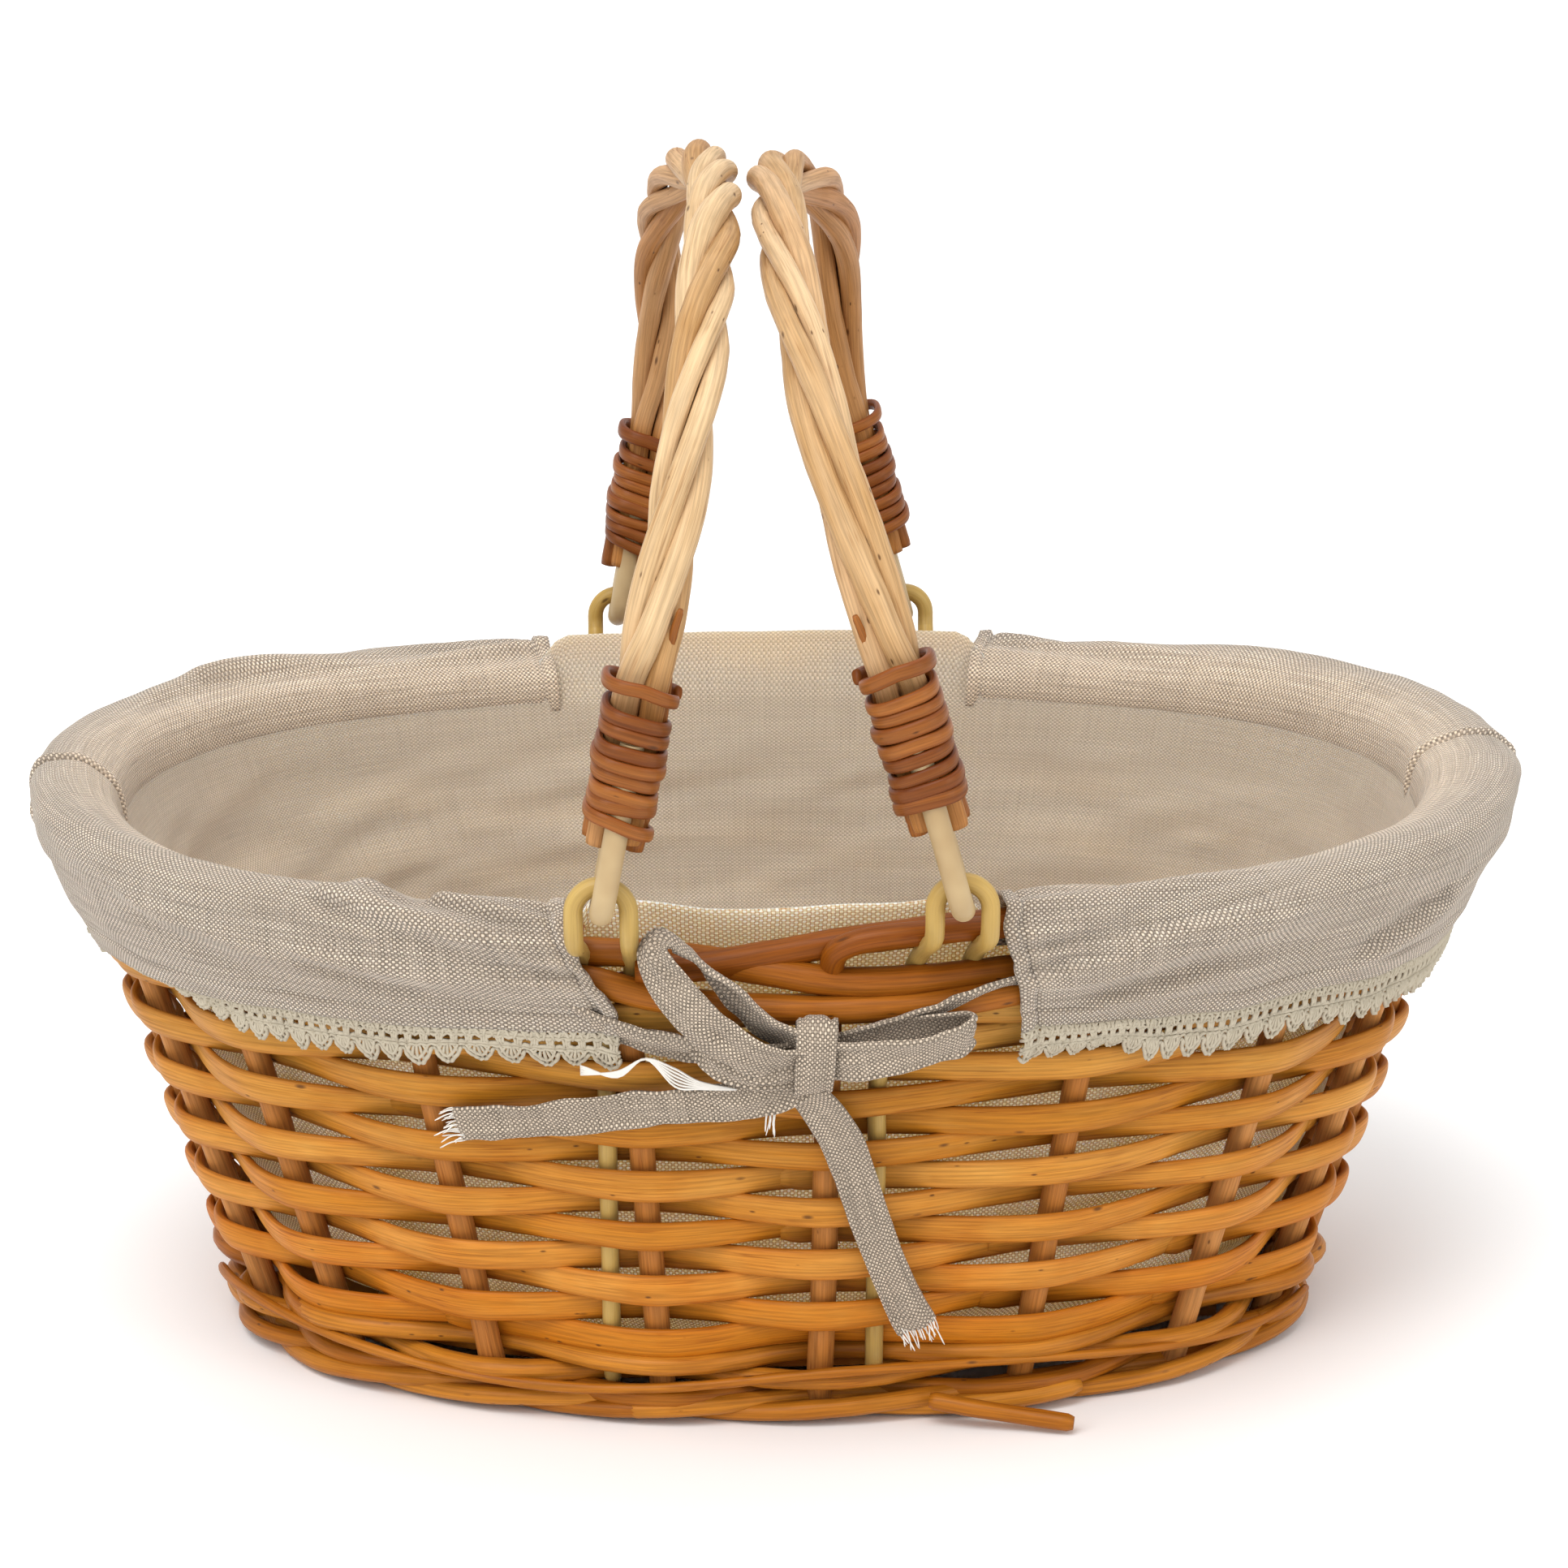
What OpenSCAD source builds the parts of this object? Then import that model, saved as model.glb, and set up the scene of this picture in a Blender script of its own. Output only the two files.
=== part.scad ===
// Oval willow basket with two drop handles, a linen liner folded over its rim, and a tied bow
// at the front and at the back. Millimetres, +Z up, +X along the long side, the front is -Y.
// The origin is the bottom centre of the foot.

/* [Basket wall] */
// Half length of the ring of stakes at floor level
base_half_length = 141; // [136:1:146]
// Half width of the ring of stakes at floor level
base_half_width = 95; // [92:1:98]
// Outward lean of the two end walls, in mm for each mm of height
end_lean = 0.31; // [0.29:0.01:0.33]
// Outward lean of the front and back walls, in mm for each mm of height
side_lean = 0.27; // [0.26:0.01:0.28]
// Squareness of the oval, where 2 is a true ellipse
oval_power = 2.2; // [2.1:0.05:2.3]

/* [Weave] */
// Radius of an upright stake
stake_r = 3.3; // [3:0.1:3.4]
// Number of woven rows above the foot
row_count = 13; // [11:1:13]
// Height of the middle of the first woven row
row_first_z = 24; // [24:0.1:24.5]
// Rise from one woven row to the next
row_pitch = 7.9; // [7.8:0.05:7.9]
// Height of one flat weaver
weaver_h = 7.4; // [7:0.1:7.5]
// Thickness of one flat weaver
weaver_t = 3.2; // [2.8:0.1:3.3]
// Number of twisted rods in the foot, above the foot ring
wale_count = 3; // [3]
// Thickness of one foot rod
wale_t = 4.4; // [4:0.1:4.5]
// Rise from one foot rod to the next
wale_pitch = 4.9; // [4.9]

/* [Border] */
// Radius of a border rod
border_r = 3.9; // [3.6:0.1:3.9]
// Height of the twisted pair of border rods
border_pair_z = 131.5; // [131.5:0.1:132]
// Height of the single rod on top
border_top_z = 144.3; // [144:0.1:144.4]

/* [Handles] */
// Distance of each handle's hinge line from the middle of the basket
hinge_x = 43; // [42:0.5:44]
// Distance of the links from the long axis
hinge_y = 150; // [150:0.5:151]
// Height of the hinge line
hinge_z = 152.9; // [152.8:0.1:153]
// Height of a handle's crown above its hinge line
hoop_height = 155; // [150:1:158]
// Height of a handle's straight ends
hoop_straight = 56; // [56:1:58]
// Squareness of the hoop
hoop_power = 2.2; // [2.1:0.05:2.4]
// Radius of one willow rod in a handle
handle_rod_r = 3.1; // [2.9:0.1:3.1]
// Full turns that the rods make round each other
hoop_turns = 4; // [3:1:5]
// Inward lean of the left handle where it rests
left_lean = 10.7; // [10:0.1:10.7]
// Inward lean of the right handle where it rests
right_lean = 15.4; // [15:0.1:15.4]
// Number of turns in a binding
wrap_turns = 9; // [8:1:9]
// Rise of one turn of a binding
wrap_pitch = 4.2; // [4:0.1:4.2]

/* [Liner and ties] */
// Thickness of the linen
linen_t = 1.6; // [1.2:0.1:1.6]
// Height of the liner's edge at the notches
liner_top_z = 147; // [146:0.5:147]
// Height of the lower edge of the two flaps
flap_low_z = 117.4; // [114:0.2:118]
// Angle from the front centre at which a flap starts
flap_start = 19.5; // [19:0.5:22]
// Depth of the lace trim
lace_depth = 10; // [6:0.5:10]
// Width of the tie ribbon
ribbon_w = 11; // [9:0.5:11]

/* [Hidden] */

gap = 0.3;
stake_count = 20;
stake_phase = 5;
// Degrees by which each stake stands off its even place
stake_shift = [-1, 2, 4, 5, 4, 2, 0, -1, 1, 0, -1, 1, 0, 1, -1, 0, 0, 0, 1, 1];
stake_low_z = 5.8;
stake_top_z = 121.4;
steps_per_gap = 4;

foot_h = 4.4;
foot_in = -5;
foot_out = 7.5;
wale_first_z = foot_h + 0.4 + wale_t / 2;

runner_r = 2.2;
runner_z = 7.2;
runner_ys = [-45, -15, 15, 45];
weave_mat_z = 9.8;
weave_mat_h = 3;
weave_mat_rings = 7;
stick_r = 2.1;
stick_z = 15.1;
stick_pitch = 26;
stick_count = 9;
base_clear = 10;

liner_out = -8.7;
liner_low_z = 17.7;
liner_points = 64;
flap_steps = 20;
flap_bulge = 4.6;
lace_t = 1.2;

arch_r = 2.4;
arch_bend_r = 6.6;
arch_leg_z = 149;
arch_foot_y = 141;
arch_foot_z = 139.6;
link_r = 2.9;
link_bend_r = 6.5;
link_top = 44;

rod_low = 14.4;
wrap_low = 17;
rope_r = 4.1;
rod_sides = 8;
arc_steps = 48;
blend_low = 46;
// Places of the three rods and middle of the binding, across a straight end
bundle = [[-3.6, 0], [3.6, 0], [-6.1, 5.8]];
rope_angles = [220, 340, 100];
wrap_mid = -1.3;
wrap_in = [8.6, 10];
wrap_sleeve = 0.8;
wrap_wall = 2;
wrap_power = 3.5;
// Sideways bow of each handle's front leg and back leg, outwards positive
left_bow = [-1, 9];
right_bow = [-1, 12];

function two_digits(i) = i < 10 ? str("0", i) : str(i);
function lerp(a, b, f) = a + (b - a) * f;
function signed_pow(v, p) = sign(v) * pow(abs(v), p);

// The oval of the stake ring. Angle t is 0 at the front centre and turns towards +X.
function half_length(z) = base_half_length + end_lean * z;
function half_width(z) = base_half_width + side_lean * z;
function fullness(t, p) = pow(pow(abs(sin(t)), p) + pow(abs(cos(t)), p), -1 / p);
function ring_xy(t, z) = fullness(t, oval_power) * [half_length(z) * sin(t), -half_width(z) * cos(t)];
function ring_out(t, z) =
  let (p = ring_xy(t, z),
       gx = signed_pow(p.x / half_length(z), oval_power - 1) / half_length(z),
       gy = signed_pow(p.y / half_width(z), oval_power - 1) / half_width(z))
  [gx, gy] / norm([gx, gy]);
// A point on the wall at angle t and height z, moved outwards by e
function wall(t, z, e) = let (p = ring_xy(t, z) + e * ring_out(t, z)) [p.x, p.y, z];

// Stakes are counted from the front centre, and a half-way count lies between two stakes
function stake_angle(i) = stake_phase + 360 / stake_count * i
  + stake_shift[(i % stake_count + stake_count) % stake_count];
function count_angle(c) = lerp(stake_angle(floor(c)), stake_angle(floor(c) + 1), c - floor(c));
loop_counts = [for (j = [0 : stake_count * steps_per_gap - 1]) j / steps_per_gap];

// Quads between neighbouring rings of m points; the last ring joins the first when closed
function skin(n, m, closed) = [
  for (i = [0 : closed ? n - 1 : n - 2], j = [0 : m - 1])
    let (a = i * m, b = ((i + 1) % n) * m, k = (j + 1) % m)
    [a + j, a + k, b + k, b + j]];

module closed_sweep(rings) {
  m = len(rings[0]);
  polyhedron([for (r = rings) each r], skin(len(rings), m, true), convexity = 10);
}

module open_sweep(rings) {
  m = len(rings[0]);
  n = len(rings);
  caps = [[for (j = [m - 1 : -1 : 0]) j], [for (j = [0 : m - 1]) (n - 1) * m + j]];
  polyhedron([for (r = rings) each r], concat(skin(n, m, false), caps), convexity = 10);
}

// Straight round rod between two points
module rod(p, q, r) {
  d = q - p;
  translate(p)
    rotate([0, acos(d.z / norm(d)), atan2(d.y, d.x)])
      cylinder(h = norm(d), r = r, $fn = 32);
}

// A weaver that passes in front of one stake and behind the next, flat in section
module woven_loop(z, side, amplitude, h, t) {
  closed_sweep([
    for (c = loop_counts)
      let (a = count_angle(c), e = amplitude * cos(180 * (c + side)))
      [wall(a, z - h / 2, e - t / 2), wall(a, z - h / 2, e + t / 2),
       wall(a, z + h / 2, e + t / 2), wall(a, z + h / 2, e - t / 2)]]);
}

// A rod of the border, which circles round its own line as it goes along the rim
module border_loop(z, circle_r, start, r) {
  sides = 6;
  closed_sweep([
    for (c = loop_counts)
      let (a = count_angle(c), w = 180 * c + start)
      [for (k = [0 : sides - 1])
        wall(a, z + circle_r * sin(w) + r * sin(360 / sides * k),
             circle_r * cos(w) + r * cos(360 / sides * k))]]);
}

module oval_2d(z, e) {
  polygon([for (c = loop_counts) let (p = wall(count_angle(c), z, e)) [p.x, p.y]]);
}

module foot_ring() {
  color("peru")
    linear_extrude(foot_h)
      difference() {
        oval_2d(0, foot_out);
        oval_2d(0, foot_in);
      }
}

module foot_rod(i) {
  color("peru")
    woven_loop(wale_first_z + wale_pitch * (i - 1), i, stake_r + gap + wale_t / 2, wale_t, wale_t);
}

// Half length of a straight stick that lies across the base at distance v from the middle
function chord(v, long, wide) = long * pow(1 - pow(abs(v) / wide, oval_power), 1 / oval_power);

module base_runners() {
  color("tan")
    for (y = runner_ys) {
      x = chord(y, half_length(runner_z) - base_clear, half_width(runner_z) - base_clear);
      rod([-x, y, runner_z], [x, y, runner_z], runner_r);
    }
}

module base_sticks() {
  color("tan")
    for (i = [0 : stick_count - 1]) {
      x = (i - (stick_count - 1) / 2) * stick_pitch;
      y = chord(x, half_width(stick_z) - base_clear, half_length(stick_z) - base_clear);
      rod([x, -y, stick_z], [x, y, stick_z], stick_r);
    }
}

module base_weave() {
  color("burlywood")
    translate([0, 0, weave_mat_z])
      linear_extrude(weave_mat_h)
        for (i = [1 : weave_mat_rings])
          difference() {
            scale(i / weave_mat_rings) oval_2d(weave_mat_z, -base_clear);
            scale((i - 0.95) / weave_mat_rings) oval_2d(weave_mat_z, -base_clear);
          }
}

module stakes() {
  color("rosybrown")
    for (i = [0 : stake_count - 1])
      rod(wall(stake_angle(i), stake_low_z, 0), wall(stake_angle(i), stake_top_z, 0), stake_r);
}

module weave_row(i) {
  color("goldenrod")
    woven_loop(row_first_z + row_pitch * (i - 1), i, stake_r + gap + weaver_t / 2, weaver_h, weaver_t);
}

module border_rod(i) {
  color("sienna") border_loop(border_pair_z, border_r + 0.45, 180 * i, border_r);
}

module border_top_rod() {
  color("sienna") border_loop(border_top_z, 0, 0, border_r + gap);
}

// Inverted U of cane that stands on the rim and carries a link
module arch(side, end) {
  x = side * hinge_x;
  y = end * hinge_y;
  color("khaki") {
    translate([x, y, hinge_z])
      rotate([90, 0, 0])
        rotate_extrude(angle = 180, $fn = 48)
          translate([arch_bend_r, 0]) circle(r = arch_r, $fn = 32);
    for (s = [-1, 1]) {
      lx = x + s * arch_bend_r;
      rod([lx, y, arch_leg_z], [lx, y, hinge_z], arch_r);
      rod([lx, end * arch_foot_y, arch_foot_z], [lx, y, arch_leg_z], arch_r);
      translate([lx, y, arch_leg_z]) sphere(r = arch_r, $fn = 32);
    }
  }
}

module liner_bag() {
  levels = [[liner_low_z, liner_out], [liner_top_z, liner_out],
            [liner_top_z, liner_out - linen_t], [liner_low_z + linen_t, liner_out - linen_t]];
  color("linen")
    open_sweep([
      for (l = levels)
        [for (j = [liner_points - 1 : -1 : 0]) wall(360 / liner_points * j, l[0], l[1])]]);
}

// The fold of a flap over the rim: distance outwards and height, upper side then under side
function flap_outline(b) = [
  [-10.2, liner_top_z + 0.4], [-10.2, 149.5], [-6, 152.6], [0, 153.8], [5.5 + b, 152.6],
  [9.2 + b, 148.2], [10 + b, 142], [10 + b, 130], [9.9 + b / 2, flap_low_z],
  [8.7 + b / 2, flap_low_z], [8.7 + b, 130], [8.7 + b, 142], [8.2 + b, 147.6],
  [5 + b, 151.2], [0, 152.3], [-5.4, 151.2], [-8.7, 148.9], [-8.7, liner_top_z + 0.4]];

module flap(side) {
  color("antiquewhite")
    open_sweep([
      for (i = [0 : flap_steps])
        let (t = side * lerp(flap_start, 180 - flap_start, i / flap_steps),
             outline = flap_outline(flap_bulge * pow(sin(t), 4)))
        side < 0 ? [for (p = outline) wall(t, p[1], p[0])]
                 : [for (j = [len(outline) - 1 : -1 : 0]) wall(t, outline[j][1], outline[j][0])]]);
}

module lace(side) {
  color("ivory")
    open_sweep([
      for (i = [0 : flap_steps])
        let (t = side * lerp(flap_start, 180 - flap_start, i / flap_steps),
             e = 8.7 + flap_bulge / 2 * pow(sin(t), 4), hi = flap_low_z - 0.2, lo = hi - lace_depth,
             corners = [wall(t, hi, e), wall(t, hi, e + lace_t), wall(t, lo, 9), wall(t, lo, 7.8)])
        side < 0 ? corners : [corners[3], corners[2], corners[1], corners[0]]]);
}

// A ribbon laid on the wall along a route of [angle, height] points, between two offsets
module wall_ribbon(route, w, e_in, e_out) {
  n = len(route);
  open_sweep([
    for (i = [0 : n - 1])
      let (a = route[max(i - 1, 0)], b = route[min(i + 1, n - 1)], p = route[i],
           along = wall(b[0], b[1], 0) - wall(a[0], a[1], 0),
           o = ring_out(p[0], p[1]),
           out = [o.x, o.y, 0],
           across = cross(out, along) / norm(cross(out, along)) * w / 2,
           mid = wall(p[0], p[1], 0))
      [mid + across + out * e_in, mid - across + out * e_in,
       mid - across + out * e_out, mid + across + out * e_out]]);
}

knot_t = 3;
knot_z = 113.4;
ribbon_t = 1.2;
band_e = 9;
tail_e = 8.6;
band_route = [for (i = [-8 : 8]) [i * 2, knot_z + 0.0022 * pow(i * 2 - knot_t, 2) * 4]];
left_tail = [[0, 103], [-8, 99.5], [-16, 96.5], [-23, 94], [-29, 92.5]];
right_tail = [[5, 101], [7.5, 88], [10.5, 74], [13, 60], [15.5, 40]];

module tie_band() {
  color("antiquewhite") wall_ribbon(band_route, ribbon_w, band_e, band_e + ribbon_t);
}

module tie_knot() {
  p = wall(knot_t, knot_z, band_e + ribbon_t + gap);
  color("antiquewhite")
    translate(p)
      rotate([90, 0, 0])
        cylinder(h = 5, r = 6.2, $fn = 32);
}

// One loop of the bow: a narrow ring of ribbon, its length reaching away from the knot
module bow_loop(length, turn) {
  p = wall(knot_t, knot_z, band_e + ribbon_t + gap + 0.5);
  translate(p)
    rotate([90 + atan(side_lean), 0, 0])
      rotate(turn)
        translate([6.8, 0, 0])
          linear_extrude(4.5)
            difference() {
              polygon([[0, -1.5], [length * 0.8, -6], [length, -3.5], [length, 3.5],
                       [length * 0.8, 6], [0, 1.5]]);
              polygon([[3, -0.6], [length * 0.8, -4.6], [length - 1.4, -2.8],
                       [length - 1.4, 2.8], [length * 0.8, 4.6], [3, 0.6]]);
            }
}

module tie_loops() {
  color("antiquewhite") {
    bow_loop(36, 140);
    bow_loop(34, 2);
  }
}

module tie_tails() {
  color("antiquewhite") {
    wall_ribbon(left_tail, ribbon_w - 2, tail_e, tail_e + ribbon_t);
    wall_ribbon(right_tail, ribbon_w - 2, tail_e, tail_e + ribbon_t);
  }
}

// Puts a handle, drawn upright with its hinge line on the Y axis, where it rests.
// The right handle is the mirror image of the left one.
module rest_handle(side) {
  lean = side < 0 ? left_lean : right_lean;
  translate([side * hinge_x, 0, hinge_z])
    mirror([side > 0 ? 1 : 0, 0, 0])
      rotate([0, lean, 0]) children();
}

// Middle of the handle's rope at step s, from the front end to the back end
straight_zs = [rod_low, 24, 34, 44, 48, 52];
function arc_point(u, bow) = [
  -bow[u < 90 ? 0 : 1] * pow(sin(2 * u), 2),
  -hinge_y * signed_pow(cos(u), 2 / hoop_power),
  hoop_straight + (hoop_height - hoop_straight) * pow(sin(u), 2 / hoop_power)];
function rope_path(bow) = concat(
  [for (z = straight_zs) [0, -hinge_y, z]],
  [for (i = [0 : arc_steps]) arc_point(180 / arc_steps * i, bow)],
  [for (i = [len(straight_zs) - 1 : -1 : 0]) [0, hinge_y, straight_zs[i]]]);
// Share of the twist that is behind a step of the path
function rope_share(i) = min(max((i - len(straight_zs)) / arc_steps, 0), 1);
function rope_spot(k, z, share) =
  let (w = rope_angles[k] + 360 * hoop_turns * share,
       f = min(max((z - blend_low) / (hoop_straight - blend_low), 0), 1))
  lerp(bundle[k], rope_r * [cos(w), sin(w)], f);

module handle_rod(side, k) {
  path = rope_path(side < 0 ? left_bow : right_bow);
  n = len(path);
  color("wheat")
    rest_handle(side)
      open_sweep([
        for (i = [0 : n - 1])
          let (along = path[min(i + 1, n - 1)] - path[max(i - 1, 0)],
               q_raw = cross(along, [1, 0, 0]),
               q = q_raw / norm(q_raw),
               p_raw = cross(q, along),
               p = p_raw / norm(p_raw),
               spot = rope_spot(k, path[i].z, rope_share(i)),
               mid = path[i] + p * spot[0] + q * spot[1])
          [for (j = [0 : rod_sides - 1])
            mid + handle_rod_r * (p * cos(360 / rod_sides * j) - q * sin(360 / rod_sides * j))]]);
}

module wrap_oval(grow) {
  points = 32;
  polygon([
    for (i = [0 : points - 1])
      let (t = 360 / points * i, f = fullness(t, wrap_power))
      [wrap_mid + (wrap_in[0] + grow) * f * sin(t), (wrap_in[1] + grow) * f * cos(t)]]);
}

// Binding of cane turns round one end of a handle
module wrap(side, end) {
  height = wrap_turns * wrap_pitch;
  color("chocolate")
    rest_handle(side)
      translate([0, end * hinge_y, wrap_low]) {
        linear_extrude(height)
          difference() {
            wrap_oval(wrap_sleeve);
            wrap_oval(0);
          }
        for (i = [0 : wrap_turns - 1])
          translate([0, 0, i * wrap_pitch])
            linear_extrude(wrap_pitch - gap)
              difference() {
                wrap_oval(wrap_wall);
                wrap_oval(wrap_sleeve / 2);
              }
      }
}

// Cream U of cane: its bend hangs in an arch, its two legs are bound into the handle
module link(side, end) {
  color("cornsilk")
    rest_handle(side)
      translate([0, end * hinge_y, link_bend_r]) {
        rotate([90, 180, 90])
          rotate_extrude(angle = 180, $fn = 48)
            translate([link_bend_r, 0]) circle(r = link_r, $fn = 32);
        for (s = [-1, 1])
          translate([0, s * link_bend_r, 0])
            cylinder(h = link_top - link_bend_r, r = link_r, $fn = 32);
      }
}

foot_ring();
for (i = [1 : wale_count])
  foot_rod(i);
base_runners();
base_sticks();
base_weave();
stakes();
for (i = [1 : row_count])
  weave_row(i);
for (i = [1 : 2])
  border_rod(i);
border_top_rod();
arch(-1, -1);  // arch_front_left
arch(1, -1);  // arch_front_right
arch(-1, 1);  // arch_back_left
arch(1, 1);  // arch_back_right
liner_bag();
flap(-1);  // flap_left
flap(1);  // flap_right
lace(-1);  // lace_left
lace(1);  // lace_right
tie_band();  // front_band
tie_knot();  // front_knot
tie_loops();  // front_loops
tie_tails();  // front_tails
rotate(180) tie_band();  // back_band
rotate(180) tie_knot();  // back_knot
rotate(180) tie_loops();  // back_loops
rotate(180) tie_tails();  // back_tails
for (k = [1 : 3])
  handle_rod(-1, k - 1);
wrap(-1, -1);  // left_wrap_front
wrap(-1, 1);  // left_wrap_back
link(-1, -1);  // left_link_front
link(-1, 1);  // left_link_back
for (k = [1 : 3])
  handle_rod(1, k - 1);
wrap(1, -1);  // right_wrap_front
wrap(1, 1);  // right_wrap_back
link(1, -1);  // right_link_front
link(1, 1);  // right_link_back
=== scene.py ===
import math
import bpy
import numpy as np
from mathutils import Matrix, Vector


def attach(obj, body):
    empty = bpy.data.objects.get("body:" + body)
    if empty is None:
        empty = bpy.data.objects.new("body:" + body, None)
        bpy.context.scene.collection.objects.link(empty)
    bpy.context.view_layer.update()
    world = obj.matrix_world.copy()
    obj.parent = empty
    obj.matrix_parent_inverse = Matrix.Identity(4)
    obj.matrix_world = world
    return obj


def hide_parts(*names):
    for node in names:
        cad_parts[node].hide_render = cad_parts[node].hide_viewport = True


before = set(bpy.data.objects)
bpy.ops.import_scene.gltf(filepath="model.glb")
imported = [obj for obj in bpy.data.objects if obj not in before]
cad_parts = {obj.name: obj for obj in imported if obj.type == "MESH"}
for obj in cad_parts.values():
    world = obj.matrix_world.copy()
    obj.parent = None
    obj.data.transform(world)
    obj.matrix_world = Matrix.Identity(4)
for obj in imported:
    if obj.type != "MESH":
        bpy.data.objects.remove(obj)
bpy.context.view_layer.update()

# Lengths in this script are millimetres until a mesh is made
MM = 0.001

# The oval wall: half length and half width at floor level, lean of the ends and of the sides
HALF_AT_FLOOR = (141.0, 95.0)
LEAN = (0.31, 0.27)
OVAL_POWER = 2.2

# Stakes, counted from the front centre towards +X
STAKES = 20
STAKE_PHASE = 5.0
STAKE_SHIFT = (-1, 2, 4, 5, 4, 2, 0, -1, 1, 0, -1, 1, 0, 1, -1, 0, 0, 0, 1, 1)
STAKE_R = 3.3

ROWS = 13
ROW_FIRST_Z = 24.0
ROW_PITCH = 7.9
WEAVER_H = 7.9
WEAVER_T = 3.2

BORDER_R = 3.9
HINGE = (43.0, 150.0, 152.9)
HOOP_TOP = 155.0
HOOP_STRAIGHT = 56.0
HOOP_POWER = 2.2
LEANS = {"left": 10.7, "right": 15.4}
BOWS = {"left": (-1.0, 9.0), "right": (-1.0, 12.0)}
RIM_Z = 147.0
FLAP_LOW_Z = 115.6
FLAP_START = 16.2
FLAP_BACK = 19.5


# ---------------------------------------------------------------- numbers that vary

def rng(seed):
    return np.random.default_rng(seed)


def value_noise(x, y, seed):
    """Smooth noise from -1 to 1 over a plane."""
    table = rng(seed).random((64, 64)) * 2 - 1
    x, y = np.broadcast_arrays(np.asarray(x, float), np.asarray(y, float))
    xi, yi = np.floor(x).astype(int), np.floor(y).astype(int)
    fx, fy = x - xi, y - yi
    fx, fy = fx * fx * (3 - 2 * fx), fy * fy * (3 - 2 * fy)
    a, b = table[xi % 64, yi % 64], table[(xi + 1) % 64, yi % 64]
    c, d = table[xi % 64, (yi + 1) % 64], table[(xi + 1) % 64, (yi + 1) % 64]
    return (a * (1 - fx) + b * fx) * (1 - fy) + (c * (1 - fx) + d * fx) * fy


def cloud(x, y, seed, octaves=3):
    """Several sizes of noise added together."""
    return sum(value_noise(x * 2 ** k + 7.3 * k, y * 2 ** k, seed + k) * 0.5 ** k for k in range(octaves))


def smooth(x, low, high):
    f = np.clip((x - low) / (high - low), 0, 1)
    return f * f * (3 - 2 * f)


def signed_pow(v, p):
    return np.sign(v) * np.abs(v) ** p


def unit(v):
    return v / np.maximum(np.linalg.norm(v, axis=-1, keepdims=True), 1e-9)


def spline(points, steps):
    """Catmull-Rom curve through rows of numbers, with this many steps between neighbours."""
    p = np.asarray(points, float)
    p = np.vstack([2 * p[0] - p[1], p, 2 * p[-1] - p[-2]])
    f = np.arange(steps)[:, None] / steps
    out = [0.5 * (2 * b + (c - a) * f + (2 * a - 5 * b + 4 * c - d) * f ** 2 + (3 * b - a - 3 * c + d) * f ** 3)
           for a, b, c, d in zip(p, p[1:], p[2:], p[3:])]
    return np.vstack(out + [p[-2:-1]])


# ---------------------------------------------------------------- the wall

def wall(t, z, e):
    """Points on the wall at angles t in degrees and heights z, moved outwards by e."""
    t, z, e = np.broadcast_arrays(np.radians(t), np.asarray(z, float), np.asarray(e, float))
    s, c = np.sin(t), np.cos(t)
    long, wide = HALF_AT_FLOOR[0] + LEAN[0] * z, HALF_AT_FLOOR[1] + LEAN[1] * z
    full = (np.abs(s) ** OVAL_POWER + np.abs(c) ** OVAL_POWER) ** (-1 / OVAL_POWER)
    x, y = full * long * s, -full * wide * c
    gx = signed_pow(x / long, OVAL_POWER - 1) / long
    gy = signed_pow(y / wide, OVAL_POWER - 1) / wide
    n = np.hypot(gx, gy)
    return np.stack([x + e * gx / n, y + e * gy / n, z], -1)


def front(x, z, e):
    """Points of the front wall at distance x from the middle and height z, e in front of it."""
    x, z, e = np.broadcast_arrays(np.asarray(x, float), np.asarray(z, float), np.asarray(e, float))
    long, wide = HALF_AT_FLOOR[0] + LEAN[0] * z, HALF_AT_FLOOR[1] + LEAN[1] * z
    return np.stack([x, -wide * (1 - np.abs(x / long) ** OVAL_POWER) ** (1 / OVAL_POWER) - e, z], -1)


def stake_angle(i):
    return STAKE_PHASE + 360 / STAKES * i + STAKE_SHIFT[i % STAKES]


STAKE_INDEX = np.arange(-STAKES, 3 * STAKES)
STAKE_ANGLES = np.array([stake_angle(i) for i in STAKE_INDEX])


def count_angle(c):
    """Angle of a stake count, where a half-way count lies between two stakes."""
    return np.interp(c, STAKE_INDEX, STAKE_ANGLES)


# ---------------------------------------------------------------- meshes

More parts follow.
